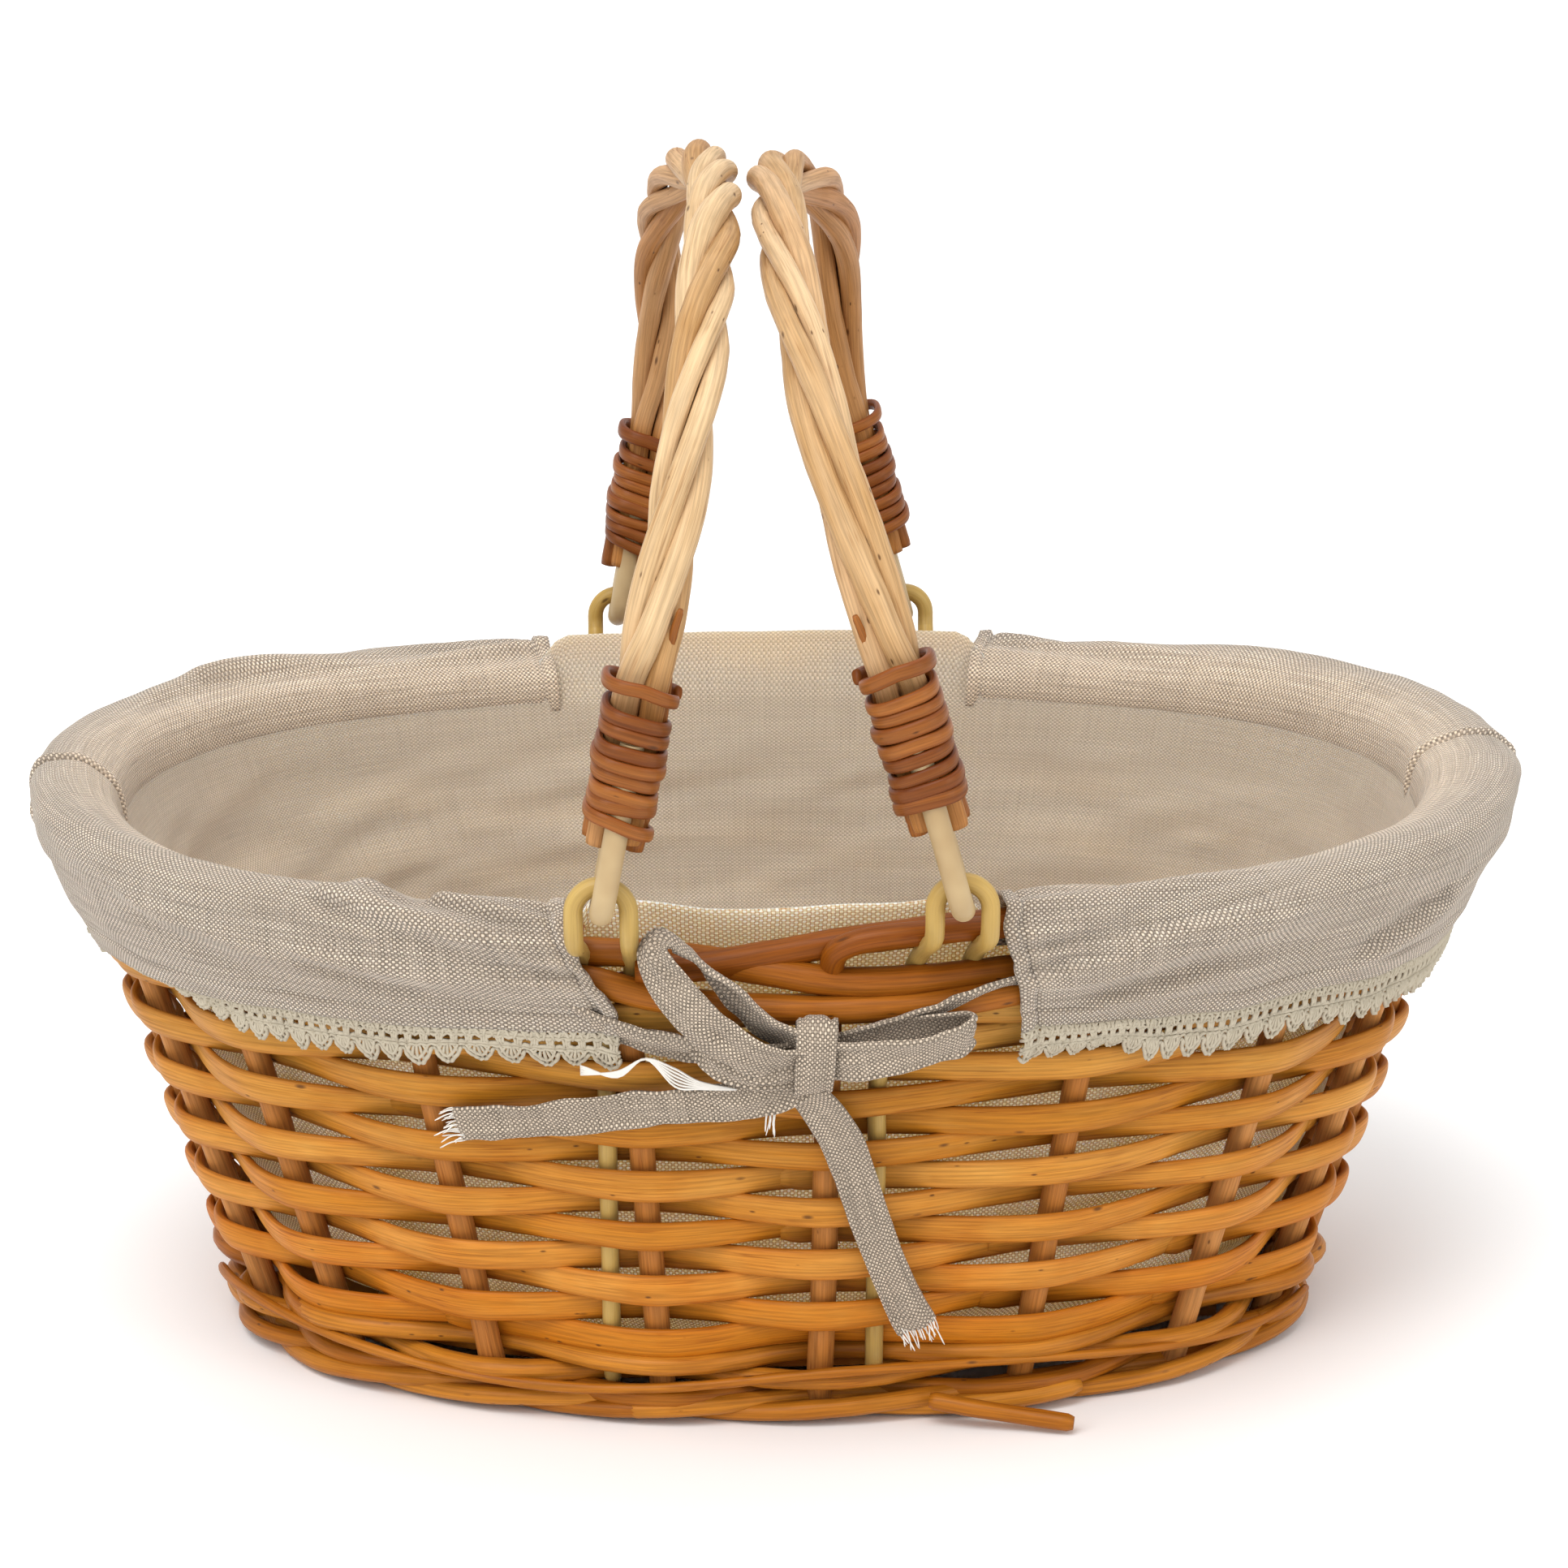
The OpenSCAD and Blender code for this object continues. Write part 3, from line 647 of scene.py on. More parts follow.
def foot():
    for k in range(3):
        shape = Shape()
        z = 7.4 + 5.1 * k
        for half in range(2):
            start = 3 + 10 * half + 2 * k
            cc = np.linspace(start - 0.3, start + 10.4, 150)
            wave = np.cos(math.pi * (cc + k + 1))
            e = 5.6 * wave + 0.9 * value_noise(cc * 1.3, k * 4.4, 31 + k) - 1.5 * smooth(cc, start + 9.6, start + 10.4)
            zz = z + 1.0 * value_noise(cc * 1.1, k * 3.3 + half, 35 + k) + 0.5 * wave
            stick(shape, wall(count_angle(cc), zz, e), 2.9 - 0.25 * half, 200 + 10 * k + half, rough=0.09)
        shape.piece(f"foot_rod_{k + 1}_willow", [FOOT], "foot_willow", "basket", [f"foot_rod_{k + 1}"])
    shape = Shape()
    for k in range(3):
        for half in range(2):
            start = 1 + 4 * k + 10 * half
            cc = np.linspace(start - 0.2, start + 10.3, 170)
            w = 2 * math.pi * (cc / 3 + k / 3)
            e = 2.2 + 4.3 * np.cos(w) + 0.8 * value_noise(cc, k, 41)
            zz = 4.2 + 1.5 * np.sin(w) + 0.4 * value_noise(cc, k, 43)
            stick(shape, wall(count_angle(cc), zz, e), 2.45, 240 + 10 * k + half, rough=0.07)
    # A thin split rod wanders over the foot, and one loose end sticks out to the front right
    cc = np.linspace(-4.6, 3.2, 110)
    split = wall(count_angle(cc), 13.5 + 3.2 * np.sin(cc * 1.5 + 0.8), 7.6 + 0.5 * value_noise(cc, 2, 47))
    stick(shape, split, 1.35, 262, sides=8, rough=0.12)
    tail = spline([(38, -104, 7), (50, -106.5, 5.5), (62, -108, 4.0), (74.5, -110.5, 2.9)], 8)
    stick(shape, tail, 2.4, 260, rough=0.04)
    shape.piece("foot_wale", [FOOT], "foot_willow", "basket", ["foot_ring"])


def notch_blend(c, z, e, spots):
    """Bends a border rod to a given course of (count, height, outwards) in both notches."""
    spots = np.array(spots, float)
    for centre in (0, 10, 20):
        near = c - centre
        weight = 1 - smooth(np.abs(near), 1.0, 1.7)
        course = spline(spots, 8)
        z = z * (1 - weight) + np.interp(near, course[:, 0], course[:, 1]) * weight
        e = e * (1 - weight) + np.interp(near, course[:, 0], course[:, 2]) * weight
    return z, e


def border():
    low_rod = [(-1.6, 131, 4), (-1.2, 130.5, 5), (-0.8, 126, 6.3), (-0.3, 123.3, 6.8), (0.3, 123.4, 6.8),
               (0.8, 126.6, 5.6), (1.2, 129.5, 4), (1.6, 131, 3)]
    mid_rod = [(-1.6, 136, -1), (-1.1, 136, -1.5), (-0.7, 135.4, 0), (-0.3, 132.2, 2.6), (0.1, 129.4, 4.2),
               (0.6, 130.2, 2.6), (1.1, 131, 0.5), (1.6, 133, -1)]
    for k, course in ((0, mid_rod), (1, low_rod)):
        shape = Shape()
        for half in range(2):
            start = 4 + 10 * half + k
            cc = np.linspace(start - 0.25, start + 10.2, 190)
            w = math.pi * (cc + k)
            e = 4.35 * np.cos(w)
            z = 131.5 + 4.35 * np.sin(w) + 0.5 * value_noise(cc, k, 51)
            z, e = notch_blend(cc, z, e, course)
            stick(shape, wall(count_angle(cc), z, e), BORDER_R * (0.96 - 0.03 * half), 300 + 10 * k + half,
                  rough=0.06, sides=14)
        shape.piece(f"border_pair_{k + 1}", [BORDER], "border_willow", "basket", [f"border_rod_{k + 1}"])
    shape = Shape()
    for k, (start, end) in enumerate(((-0.93, 9.4), (9.07, 18.7))):
        cc = np.linspace(start, end, 190)
        near = cc - 10 * k
        z = 142.2 + 0.5 * value_noise(cc * 0.8, 0, 55) - 9.3 * (1 - smooth(near, -0.95, 0.75))
        e = 0.4 * value_noise(cc * 0.7, 3, 56) - 1.4 + 5.4 * (1 - smooth(near, -0.9, 0.1))
        stick(shape, wall(count_angle(cc), z, e), BORDER_R * 0.94, 330 + k, rough=0.06, ends=0.94, sides=14)
    shape.piece("border_top", [BORDER], "border_willow", "basket", ["border_top_rod"])


# ---------------------------------------------------------------- arches, links and handles

def arches():
    """Inverted U of yellow cane. One leg of each is woven on down beside a stake to the foot."""
    w = np.radians(np.linspace(0, 180, 19))
    for end, end_name in ((-1, "front"), (1, "back")):
        for side, side_name in ((-1, "left"), (1, "right")):
            # The back is the front turned half round, so each arch is drawn at the front
            x_sign = side if end < 0 else -side
            x0 = x_sign * HINGE[0]
            bend = np.stack([x0 - 6.6 * np.cos(w), np.full(19, -HINGE[1]), HINGE[2] + 6.6 * np.sin(w)], -1)

            def leg(x_top, x_low, low_z):
                tops = [[x_top, -HINGE[1], 149.5], [x_top * 0.99 + x_low * 0.01, -145.0, 143.5]]
                z = np.array([v for v in (137, 130, 118, 100, 80, 60, 40, 22, 9) if v >= low_z])
                x = x_top + (x_low - x_top) * smooth(-z, -150, -100)
                e = np.interp(z, [100, 118, 130, 137], [0, -0.5, -1.5, 2.5])
                return np.vstack([tops, front(x, z, e)])

            if x_sign < 0:
                legs = leg(x0 - 6.6, -43.0, 9), leg(x0 + 6.6, x0 + 8.0, 118)
            else:
                legs = leg(x0 - 6.6, 24.0, 9), leg(x0 + 6.6, x0 - 4.0, 118)
            path = np.vstack([spline(legs[0][::-1], 5), bend, spline(legs[1], 5)])
            shape = Shape()
            stick(shape, path * [-end, -end, 1], 2.35, 400 + 3 * side + end, rough=0.03, hint=(0, 1, 0.1))
            name = f"arch_{end_name}_{side_name}"
            shape.piece(f"{name}_cane", [YELLOW], "yellow_cane", "basket", [name])


def handle_turn(side):
    lean = math.radians(LEANS[side])
    turn = np.array([[math.cos(lean), 0, math.sin(lean)], [0, 1, 0], [-math.sin(lean), 0, math.cos(lean)]])
    flip = np.diag([1.0 if side == "left" else -1.0, 1, 1])
    place = np.array([-HINGE[0] if side == "left" else HINGE[0], 0, HINGE[2]])
    return flip @ turn, place


def on_handle(points, side):
    turn, place = handle_turn(side)
    return points @ turn.T + place


def hoop(side, steps=180):
    """Middle line of a handle from its front end to its back end, and the points of each straight leg."""
    u = np.radians(np.linspace(0, 180, steps + 1))
    front_bow, back_bow = BOWS[side]
    bow = np.where(u < math.pi / 2, front_bow, back_bow)
    arc = np.stack([-bow * np.sin(2 * u) ** 2, -HINGE[1] * signed_pow(np.cos(u), 2 / HOOP_POWER),
                    HOOP_STRAIGHT + (HOOP_TOP - HOOP_STRAIGHT) * np.sin(u) ** (2 / HOOP_POWER)], -1)
    low = np.arange(HANDLE_LOW[side], 55, 1.6)
    down = np.stack([0 * low, 0 * low - HINGE[1], low], -1)
    up = np.stack([0 * low, 0 * low + HINGE[1], low[::-1]], -1)
    return np.vstack([down, arc, up]), len(low)


BUNDLE = ((-3.3, 0.0), (3.3, 0.0), (-2.3, 5.9), (3.4, 5.6))
HANDLE_ROD_R = (3.4, 3.25, 3.0, 2.6)
HANDLE_LOW = {"left": 16.6, "right": 20.0}
ROPE_ANGLES = (225.0, 315.0, 135.0, 45.0)
ROPE_R = 4.05
ROPE_TURNS = {"left": 3, "right": 2}
# Heights of a binding's first turn, its close turns from bottom to top, and its loose last turn
BINDING_HEIGHTS = {"left": (21.0, 26.0, 50.0, 56.0), "right": (27.5, 31.0, 56.5, 61.0)}


def handle_rods(side):
    """Four rods twisted round each other, lying side by side where they are bound."""
    path, straight = hoop(side)
    n = len(path)
    run = np.concatenate([[0], np.cumsum(np.linalg.norm(np.diff(path, axis=0), axis=1))])
    share = np.clip((run - run[straight]) / (run[n - straight - 1] - run[straight]), 0, 1)
    along = unit(np.gradient(path, axis=0))
    q = unit(np.cross(along, [1.0, 0, 0]))
    p = unit(np.cross(q, along))
    f = smooth(path[:, 2], 44, 70)
    stained = 2.1 * (1 - smooth(path[:, 2], 46, 66)) + 1.5 * smooth(path[:, 1], 0, 90) + (0.35 if side == "right" else 0)
    shape = None
    for k in range(4):
        drift = 16 * value_noise(run / 60, k * 3.0, 60 + k)
        w = np.radians(ROPE_ANGLES[k] + 360 * ROPE_TURNS[side] * share + drift)
        spot = np.array(BUNDLE[k])[None] * (1 - f)[:, None] + ROPE_R * np.stack([np.cos(w), np.sin(w)], -1) * f[:, None]
        rod = (path + p * spot[:, :1] + q * spot[:, 1:])[k % 3:n - (k + 1) % 3]
        if k < 3:
            shape = Shape()
        width = HANDLE_ROD_R[k] * (1 + 0.08 * value_noise(run / 90, k, 64 + k)) * (0.95 + 0.05 * f)
        seed = (600 if side == "left" else 640) + k
        stick(shape, on_handle(rod, side), width[k % 3:n - (k + 1) % 3], seed, sides=18, rough=0.06,
              hint=(1, 0.1, 0), ends=0.95, hue=(stained + 0.5 * (k == 1))[k % 3:n - (k + 1) % 3])
        if k != 2:
            number = min(k, 2) + 1
            shape.piece(f"{side}_twisted_rod_{number}", [HANDLE], "handle_willow", f"{side}_handle",
                        [f"{side}_handle_rod_{number}"])


def binding(side, end, end_name):
    """A strip of cane wound round one end of a handle: a slanting first turn and a loose last one."""
    shape = Shape()
    seed = 700 + (10 if side == "left" else 20) + end
    random = rng(seed)
    low, tight, high, loose = BINDING_HEIGHTS[side]
    turns = 9.2
    steps = int(turns * 36)
    t = np.linspace(0, turns, steps + 1)
    w = 2 * math.pi * t
    power = 2.8
    full = (np.abs(np.sin(w)) ** power + np.abs(np.cos(w)) ** power) ** (-1 / power)
    swell = 0.7 * value_noise(t * 1.3, 0, seed) + 0.7 * smooth(t, turns - 1.1, turns)
    width = 7.9 if side == "left" else 8.4
    rx, ry = width + swell, 10.0 + 0.6 * swell
    z = np.interp(t, [0, 1, turns - 1.3, turns - 0.7, turns], [low, tight, high, loose, loose])
    z += 0.55 * value_noise(t * 2.3, 3, seed + 1) + 0.35 * value_noise(t * 5.1, 1, seed + 3)
    slant = np.interp(t, [0, 0.9, 1.7, turns - 1.5, turns], [2.0, 1.0, 0.55, 0.55, 1.7])
    z += slant * np.sin(w + 6.28 * random.random())
    path = np.stack([rx * full * np.sin(w), end * (HINGE[1] - 0.5) + ry * full * np.cos(w), z], -1)
    side_dir = unit(np.stack([full * np.sin(w) / rx, full * np.cos(w) / ry, 0 * w], -1))
    along = unit(np.gradient(path, axis=0))
    up = unit(np.cross(along, side_dir))
    a = np.radians(np.arange(12) * 30.0)
    section = np.stack([signed_pow(np.cos(a), 0.8) * 1.05, signed_pow(np.sin(a), 0.75) * 1.78], -1)
    section = section[None] * (1 + 0.16 * value_noise(t * 1.7, 6, seed + 2))[:, None, None]
    r = random.random(2)
    tint = np.zeros((steps + 1, 12, 4))
    tint[..., 0] = (0.5 + 0.5 * value_noise(t * 0.9, 4, seed + 6))[:, None]
    tint[..., 1], tint[..., 3] = r[1], 1
    # Painted shade: the tint's third channel darkens the strip towards its upper and lower faces, where the turns shade
    # each other
    tint[..., 2] = np.clip(np.abs(np.sin(a)) * 1.5 - 0.4, 0, 1)
    turn, place = handle_turn(side)
    sweep(shape, on_handle(path, side), section, (side_dir @ turn.T, up @ turn.T), tint, u0=1000 * r[0])
    # The strip's own tail, pushed up under the turns, and short stubs of rod beside the handle's rods
    y0 = end * HINGE[1]
    tail = [(5.9, y0 - end * 3, 22.0), (6.2, y0 - end * 2.6, 34), (6.0, y0 - end * 1.0, 52), (4.9, y0 + end * 2.4, 68),
            (5.6, y0 + end * 4.0, 77)]
    stick(shape, on_handle(spline(tail, 8), side), np.linspace(1.7, 0.9, 33), seed + 4, sides=8, hint=(0, 1, 0))
    for k, (x, y) in enumerate(((5.2, 3.4), (-5.4, 3.8))):
        bottom = HANDLE_LOW[side] - 1.2 + 2.2 * random.random()
        stub = [(x, y0 - end * y, bottom), (x * 0.97, y0 - end * y, 29), (x * 0.9, y0 - end * y, 44)]
        stick(shape, on_handle(spline(stub, 6), side), 2.4, seed + 5 + k, sides=12, hint=(0, 1, 0), ends=0.93)
    shape.piece(f"{side}_binding_{end_name}", [BINDING], "binding_cane", f"{side}_handle",
                [f"{side}_wrap_{end_name}"])


# ---------------------------------------------------------------- linen

def thicken(obj, thickness, offset=-1.0):
    solid = obj.modifiers.new("thickness", "SOLIDIFY")
    solid.thickness = thickness * MM
    solid.offset = offset


def liner():
    """The bag inside the basket: walls with soft wrinkles that turn into a flat floor."""
    turns = 320
    t = np.linspace(0, 360, turns + 1)[:-1]
    wall_z = np.concatenate([np.linspace(RIM_Z + 0.6, 32, 60), np.linspace(30.5, 20, 8)])
    drop = np.concatenate([wall_z, np.full(18, 18.4)])
    scale = np.concatenate([np.ones(60), 1 - 0.055 * smooth(np.arange(8), 0, 8), np.linspace(0.93, 0.001, 18)])
    tt, zz = np.meshgrid(t, drop, indexing="ij")
    top = smooth(zz, RIM_Z - 14, RIM_Z)
    # At the back the cloth stands higher between the arches and covers the rods
    back = (1 - smooth(np.abs(t - 180), 18, 23))[:, None] * top
    points = wall(tt, np.maximum(zz, 20), -9.3 + 5.2 * back) * [1, 1, 0] * scale[None, :, None]
    depth = np.arange(len(drop))
    u = tt / 360 * 1000
    ripple = 1.7 * cloud(u / 80 + zz / 60, zz / 21, 81) + 1.0 * cloud(u / 30 + zz / 22, zz / 12, 84)
    ripple *= smooth(-zz, -RIM_Z + 12, -RIM_Z + 36) * (1 - smooth(depth, 60, 66))[None]
    inward = np.clip(ripple + 0.9, 0, 3.4) * smooth(scale, 0, 0.15)[None]
    points = points - unit(points * [1, 1, 0]) * inward[..., None]
    puff = 1.1 * cloud(points[..., 0] / 38, points[..., 1] / 38, 87)
    points[..., 2] = zz + puff * smooth(-drop, -32, -18)[None] + 5.0 * back
    # In the front notch the free edge dips between the arches
    notch = np.minimum(t, 360 - t)
    dip = -1.6 * (1 - smooth(notch, 4, 15)) + 0.5 * value_noise(t / 5, 0, 88)
    points[..., 2] += dip[:, None] * top
    # Under the flaps the edge stays low, where the turned-down cloth takes over
    covered = smooth(notch, 14.5, 16.0) * smooth(180 - notch, 18, 23)
    points[..., 2] -= 6.2 * covered[:, None] * smooth(zz, RIM_Z - 9, RIM_Z)
    shape = Shape()
    run = np.concatenate([[0], np.cumsum(np.linalg.norm(np.diff(points[0], axis=0), axis=1))])
    around = np.linspace(0, 960, turns + 1)
    tint = np.zeros((turns, len(drop), 4))
    tint[..., 3] = 1
    shape.grid(points, around[:, None], run[None], tint, close=True)
    # The outer face carries the painted light of light shining through the cloth; the inner face has the cloth's inside
    # colours
    obj = shape.piece("liner_cloth", [LINEN_OUT_BACKLIT, LINEN_IN], "linen", "basket", ["liner_bag"])
    thicken(obj, 0.7, 1.0)
    obj.modifiers["thickness"].material_offset = 1
    return obj


def flap_profile(t, steps):
    """The fold over the rim at angle t as distance outwards and height, from the inside edge to the hem."""
    ends = math.sin(math.radians(t)) ** 4
    b = (4.6 if t > 0 else 1.8) * ends
    facing = math.cos(math.radians(t))
    drop = (3.2 if t > 0 else 4.6) * float(smooth(facing, 0.1, 0.8)) + 4.2 * float(smooth(-facing, 0.6, 0.92))
    hem_z = FLAP_LOW_Z - 3.5 * ends
    points = [(-8.9, 134.0), (-10.6, 140.0), (-10.0, 147.0), (-5.6 + 1.5 * ends, 151.6), (0.8 + 2.2 * ends, 153.4), (6.2 + b, 151.8),
              (9.3 + b, 147.6), (10.0 + b, 141.0), (9.8 + 0.7 * b, 130.0), (9.2 + 0.3 * b - 1.8 * ends, hem_z)]
    line = spline(points, 12)
    line[:, 1] -= drop * smooth(line[:, 1], 128, 150)
    run = np.concatenate([[0], np.cumsum(np.linalg.norm(np.diff(line, axis=0), axis=1))])
    at = np.linspace(0, run[-1], steps)
    return np.stack([np.interp(at, run, line[:, 0]), np.interp(at, run, line[:, 1])], -1), at


def ridge(s, v, a, b, width, height):
    """A soft fold along the line from a to b, given as distances along and down the flap."""
    a, b = np.array(a, float), np.array(b, float)
    d = b - a
    f = ((s - a[0]) * d[0] + (v - a[1]) * d[1]) / (d @ d)
    off = ((s - a[0]) * d[1] - (v - a[1]) * d[0]) / np.linalg.norm(d)
    fade = smooth(f, -0.08, 0.12) * (1 - smooth(f, 0.45, 1.05))
    spread = width * (0.6 + 0.7 * np.clip(f, 0, 1))
    return height * fade * (np.exp(-(off / spread) ** 2) - 0.55 * np.exp(-((off - 1.7 * spread) / spread) ** 2))


def flap(side, side_name):
    """Half of the turned-down cloth, from the front notch round one end to the back notch."""
    around, across = 560, 72
    t = side * np.linspace(FLAP_START, 180 - FLAP_BACK, around)
    shape = Shape()
    rows = []
    for angle in t:
        profile, at = flap_profile(angle, across)
        rows.append(profile)
    profile = np.array(rows)
    middle = wall(t, 140, 8)
    run = np.concatenate([[0], np.cumsum(np.linalg.norm(np.diff(middle, axis=0), axis=1))])
    s, v = np.meshgrid(run, at, indexing="ij")
    length, deep = run[-1], at[-1]
    seed = 90 + 5 * side
    near = np.minimum(s, length - s)
    fold = cloud(s / 80 + v / 38, v / 15, seed) * 1.1 + cloud(s / 24 - v / 20, v / 9, seed + 4) * 0.35
    # Folds that the tie pulls into the cloth from both notches
    random = rng(seed + 40)
    for start in (0, 1):
        along = (s if start == 0 else length - s)
        for k in range(5):
            v0 = 22 + 6.5 * k + 3 * random.random()
            reach = 30 + 60 * random.random()
            fold = fold + ridge(along, v, (1.0, v0), (reach, v0 - 4 - 9 * random.random()),
                                2.2 + 1.8 * random.random(), 1.2 + 1.4 * random.random())
    for k in range(9):
        s0, v0 = length * random.random(), 20 + 28 * random.random()
        fold = fold + ridge(s, v, (s0, v0), (s0 + 50 + 60 * random.random(), v0 + 8 * (random.random() - 0.5)),
                            3.0 + 2.5 * random.random(), 0.9 + 1.1 * random.random())
    # The strongest folds beside the front notch
    if side < 0:
        for a, b, wide, tall in (((62, 26), (2, 38), 3.2, 4.6), ((70, 42), (6, 51), 3.4, 3.0),
                                 ((34, 23), (3, 28), 2.4, 2.4), ((125, 38), (50, 49), 4.5, 2.4)):
            fold = fold + ridge(s, v, a, b, wide, tall)
        fold = fold + 2.8 * np.exp(-((s - 50) / 6) ** 2 - ((v - 21) / 8) ** 2)
        fold = fold - 2.4 * np.exp(-((s - 37) / 6) ** 2 - ((v - 22) / 8) ** 2)
    else:
        for a, b, wide, tall in (((4, 49), (105, 33), 5.5, 3.2), ((16, 58), (85, 49), 3.0, 2.2),
                                 ((105, 56), (160, 46), 3.4, 3.0)):
            fold = fold + ridge(s, v, a, b, wide, tall)
    fold = fold * smooth(v, 11, 19) * (1 - 0.5 * smooth(v, deep - 6, deep))
    tangent = np.gradient(profile, axis=1)
    normal = np.stack([-tangent[..., 1], tangent[..., 0]], -1)
    normal /= np.maximum(np.linalg.norm(normal, axis=-1, keepdims=True), 1e-9)
    rolled = 2.9 + 0.5 * value_noise(v / 7, 0, seed + 50)
    hem = (1.2 + 0.4 * value_noise(v / 5, 3, seed + 51)) * (1 - smooth(near, rolled, rolled + 0.7))
    hem = hem + 0.35 * smooth(v, deep - 5.0, deep - 4.4)
    groove = -0.7 * np.exp(-((near - rolled - 1.2) / 0.7) ** 2) - 0.4 * np.exp(-((v - deep + 5.2) / 0.6) ** 2)
    at_seam = s - length * (0.487 if side < 0 else 0.52) - 3 * np.sin(v / 9)
    seam = -1.3 * np.exp(-(at_seam / 1.2) ** 2) + 0.8 * np.exp(-((at_seam - 2.6) / 1.4) ** 2)
    move = np.clip(fold + 0.3, np.where(v < 44, -0.7, -1.8), 4.2) + hem + groove + seam
    e = profile[..., 0] + normal[..., 0] * move
    z = profile[..., 1] + normal[..., 1] * move
    z += 1.5 * cloud(s / 50, 0.5, seed + 20) * smooth(v, deep - 30, deep)
    shift = 1.2 * cloud(near / 20, v / 14, seed + 30) * (1 - smooth(near, 0, 9)) * smooth(v, 8, 20)
    angle = t[:, None] + np.degrees(shift / 165) * np.where(s < length / 2, side, -side)
    # The free edges slant: both corners of the left flap are pulled towards the knot
    slant = -3.5 * smooth(v, 16, deep) if side < 0 else 2.3 * smooth(v, 28, deep)
    angle = angle + side * slant * (1 - smooth(s, 0, 55)) 
    points = wall(angle, z, e)
    tint = np.zeros(points.shape[:2] + (4,))
    # Over the rim the flap keeps the inside colours; lower down it takes the darker colours with deeper painted shade
    tint[..., 1] = 1 - smooth(v, 12, 26)
    tint[..., 2] = np.exp(-(at_seam / 1.0) ** 2) * (0.5 if side > 0 else 1.0) * (1 - smooth(v, 26, 34))
    tint[..., 3] = 1
    if side > 0:
        shape.grid(points, s, v, tint)
    else:
        shape.grid(points[::-1], s[::-1], v, tint[::-1])
    obj = shape.piece(f"rim_flap_{side_name}", [LINEN], "linen", "basket", [f"flap_{side_name}"])
    thicken(obj, 1.1, -1.0)
    lace_piece = lace(side, side_name, angle[:, -1], z[:, -1], e[:, -1], run)
    return obj


def lace(side, side_name, t, hem_z, hem_e, run):
    """Crocheted cotton edging, sewn under the hem of a flap: a close band, a row of holes and points."""
    shape = Shape()
    length = run[-1]
    repeats = int(length / 6.6)
    pitch = length / repeats
    random = rng(130 + side)
    turn = np.abs(t)
    # Deeper towards the front corner; on the left it is curled under at the end of the oval
    deeper = (1.28 if side > 0 else 1.14) + 0.16 * (1 - smooth(run, 4, 30))
    if side < 0:
        deeper = deeper * (1 - 0.86 * smooth(turn, 40, 57) * (1 - smooth(turn, 118, 132)))
    bunch = (1 - smooth(run, 30, 48)) * smooth(run, 0, 3) * (1.0 if side > 0 else 0.4)

    def thread(points, r=0.5):
        """A thread through places given as distance along the hem, depth below it and outwards."""
        p = np.asarray(points, float)
        s = np.clip(p[:, 0] + 0.5 * value_noise(p[:, 0] / 5, p[:, 1] / 3, 131 + side), 0.3, length - 0.3)
        sway = 0.9 * value_noise(s / 9, p[:, 1] / 5, 133 + side) * (p[:, 1] / 9)
        scale, tight = np.interp(s, run, deeper), np.interp(s, run, bunch)
        fall = p[:, 1] * scale * (1 + 0.1 * value_noise(s / 14, 0, 139)) * (1 - 0.3 * tight)
        z = np.interp(s, run, hem_z) + 1.4 - fall
        e = np.interp(s, run, hem_e) - 1.0 + p[:, 2] + sway + tight * 2.2 * np.sin(p[:, 1] / 9 * math.pi)
        stick(shape, wall(np.interp(s, run, t), z, e), r, 5, sides=5, rough=0.0, ends=0.8)

    line = np.linspace(0, length, int(length / 1.0))
    for k, depth in enumerate((0.6, 1.4, 2.2, 3.0)):
        beat = 0.35 * np.sin(line * 3.1 + k * 2.1)
        thread(np.stack([line, depth + beat, 0.35 * np.cos(line * 3.1 + k)], -1), 0.6)
    rungs = int(length / 1.5)
    for k in range(rungs):
        s = (k + 0.5) * length / rungs
        lean = 0.5 * (-1) ** k
        thread([(s - lean, 0.8, 0.2), (s, 2.0, 0.5), (s + lean, 3.4, 0.2)], 0.45)
    # Posts leave a row of holes under the band
    for k in range(2 * repeats):
        s = (k + 0.5) * pitch / 2
        for put in (-0.75, 0, 0.75):
            thread([(s + put, 3.0, 0.1), (s + put * 0.6, 4.1, 0.35), (s + put * 0.9, 5.2, 0.1)], 0.47)
    for depth in (5.0, 5.8):
        beat = 0.3 * np.sin(line * 3.4 + depth)
        thread(np.stack([line, depth + beat, 0.35 * np.cos(line * 3.4)], -1), 0.58)
    for k in range(repeats):
        s = (k + 0.5) * pitch
        deep = 9.2 + 1.2 * random.random()
        f = np.linspace(-1, 1, 17)
        picot = 0.45 * np.abs(np.sin(f * 7.5))
        edge = 6.0 + (deep - 6.0) * (1 - np.abs(f) ** 1.8) + picot
        thread(np.stack([s + f * pitch * 0.48, edge, 0.3 * np.sin(f * 20)], -1), 0.62)
        inner = 5.8 + (deep - 7.0) * (1 - np.abs(f[::2]) ** 1.8)
        thread(np.stack([s + f[::2] * pitch * 0.36, inner, 0.3 + 0 * f[::2]], -1), 0.5)
        for spread in (-0.34, -0.17, 0, 0.17, 0.34):
            low = 6.0 + (deep - 6.2) * (1 - (abs(spread) / 0.5) ** 1.8)
            thread([(s + spread * pitch * 0.45, 5.5, 0.1), (s + spread * pitch * 0.8, (5.5 + low) / 2, 0.4),
                    (s + spread * pitch, low, 0.1)], 0.46)
    return shape.piece(f"lace_edging_{side_name}", [LACE], "lace", "basket", [f"lace_{side_name}"])


# ---------------------------------------------------------------- bow

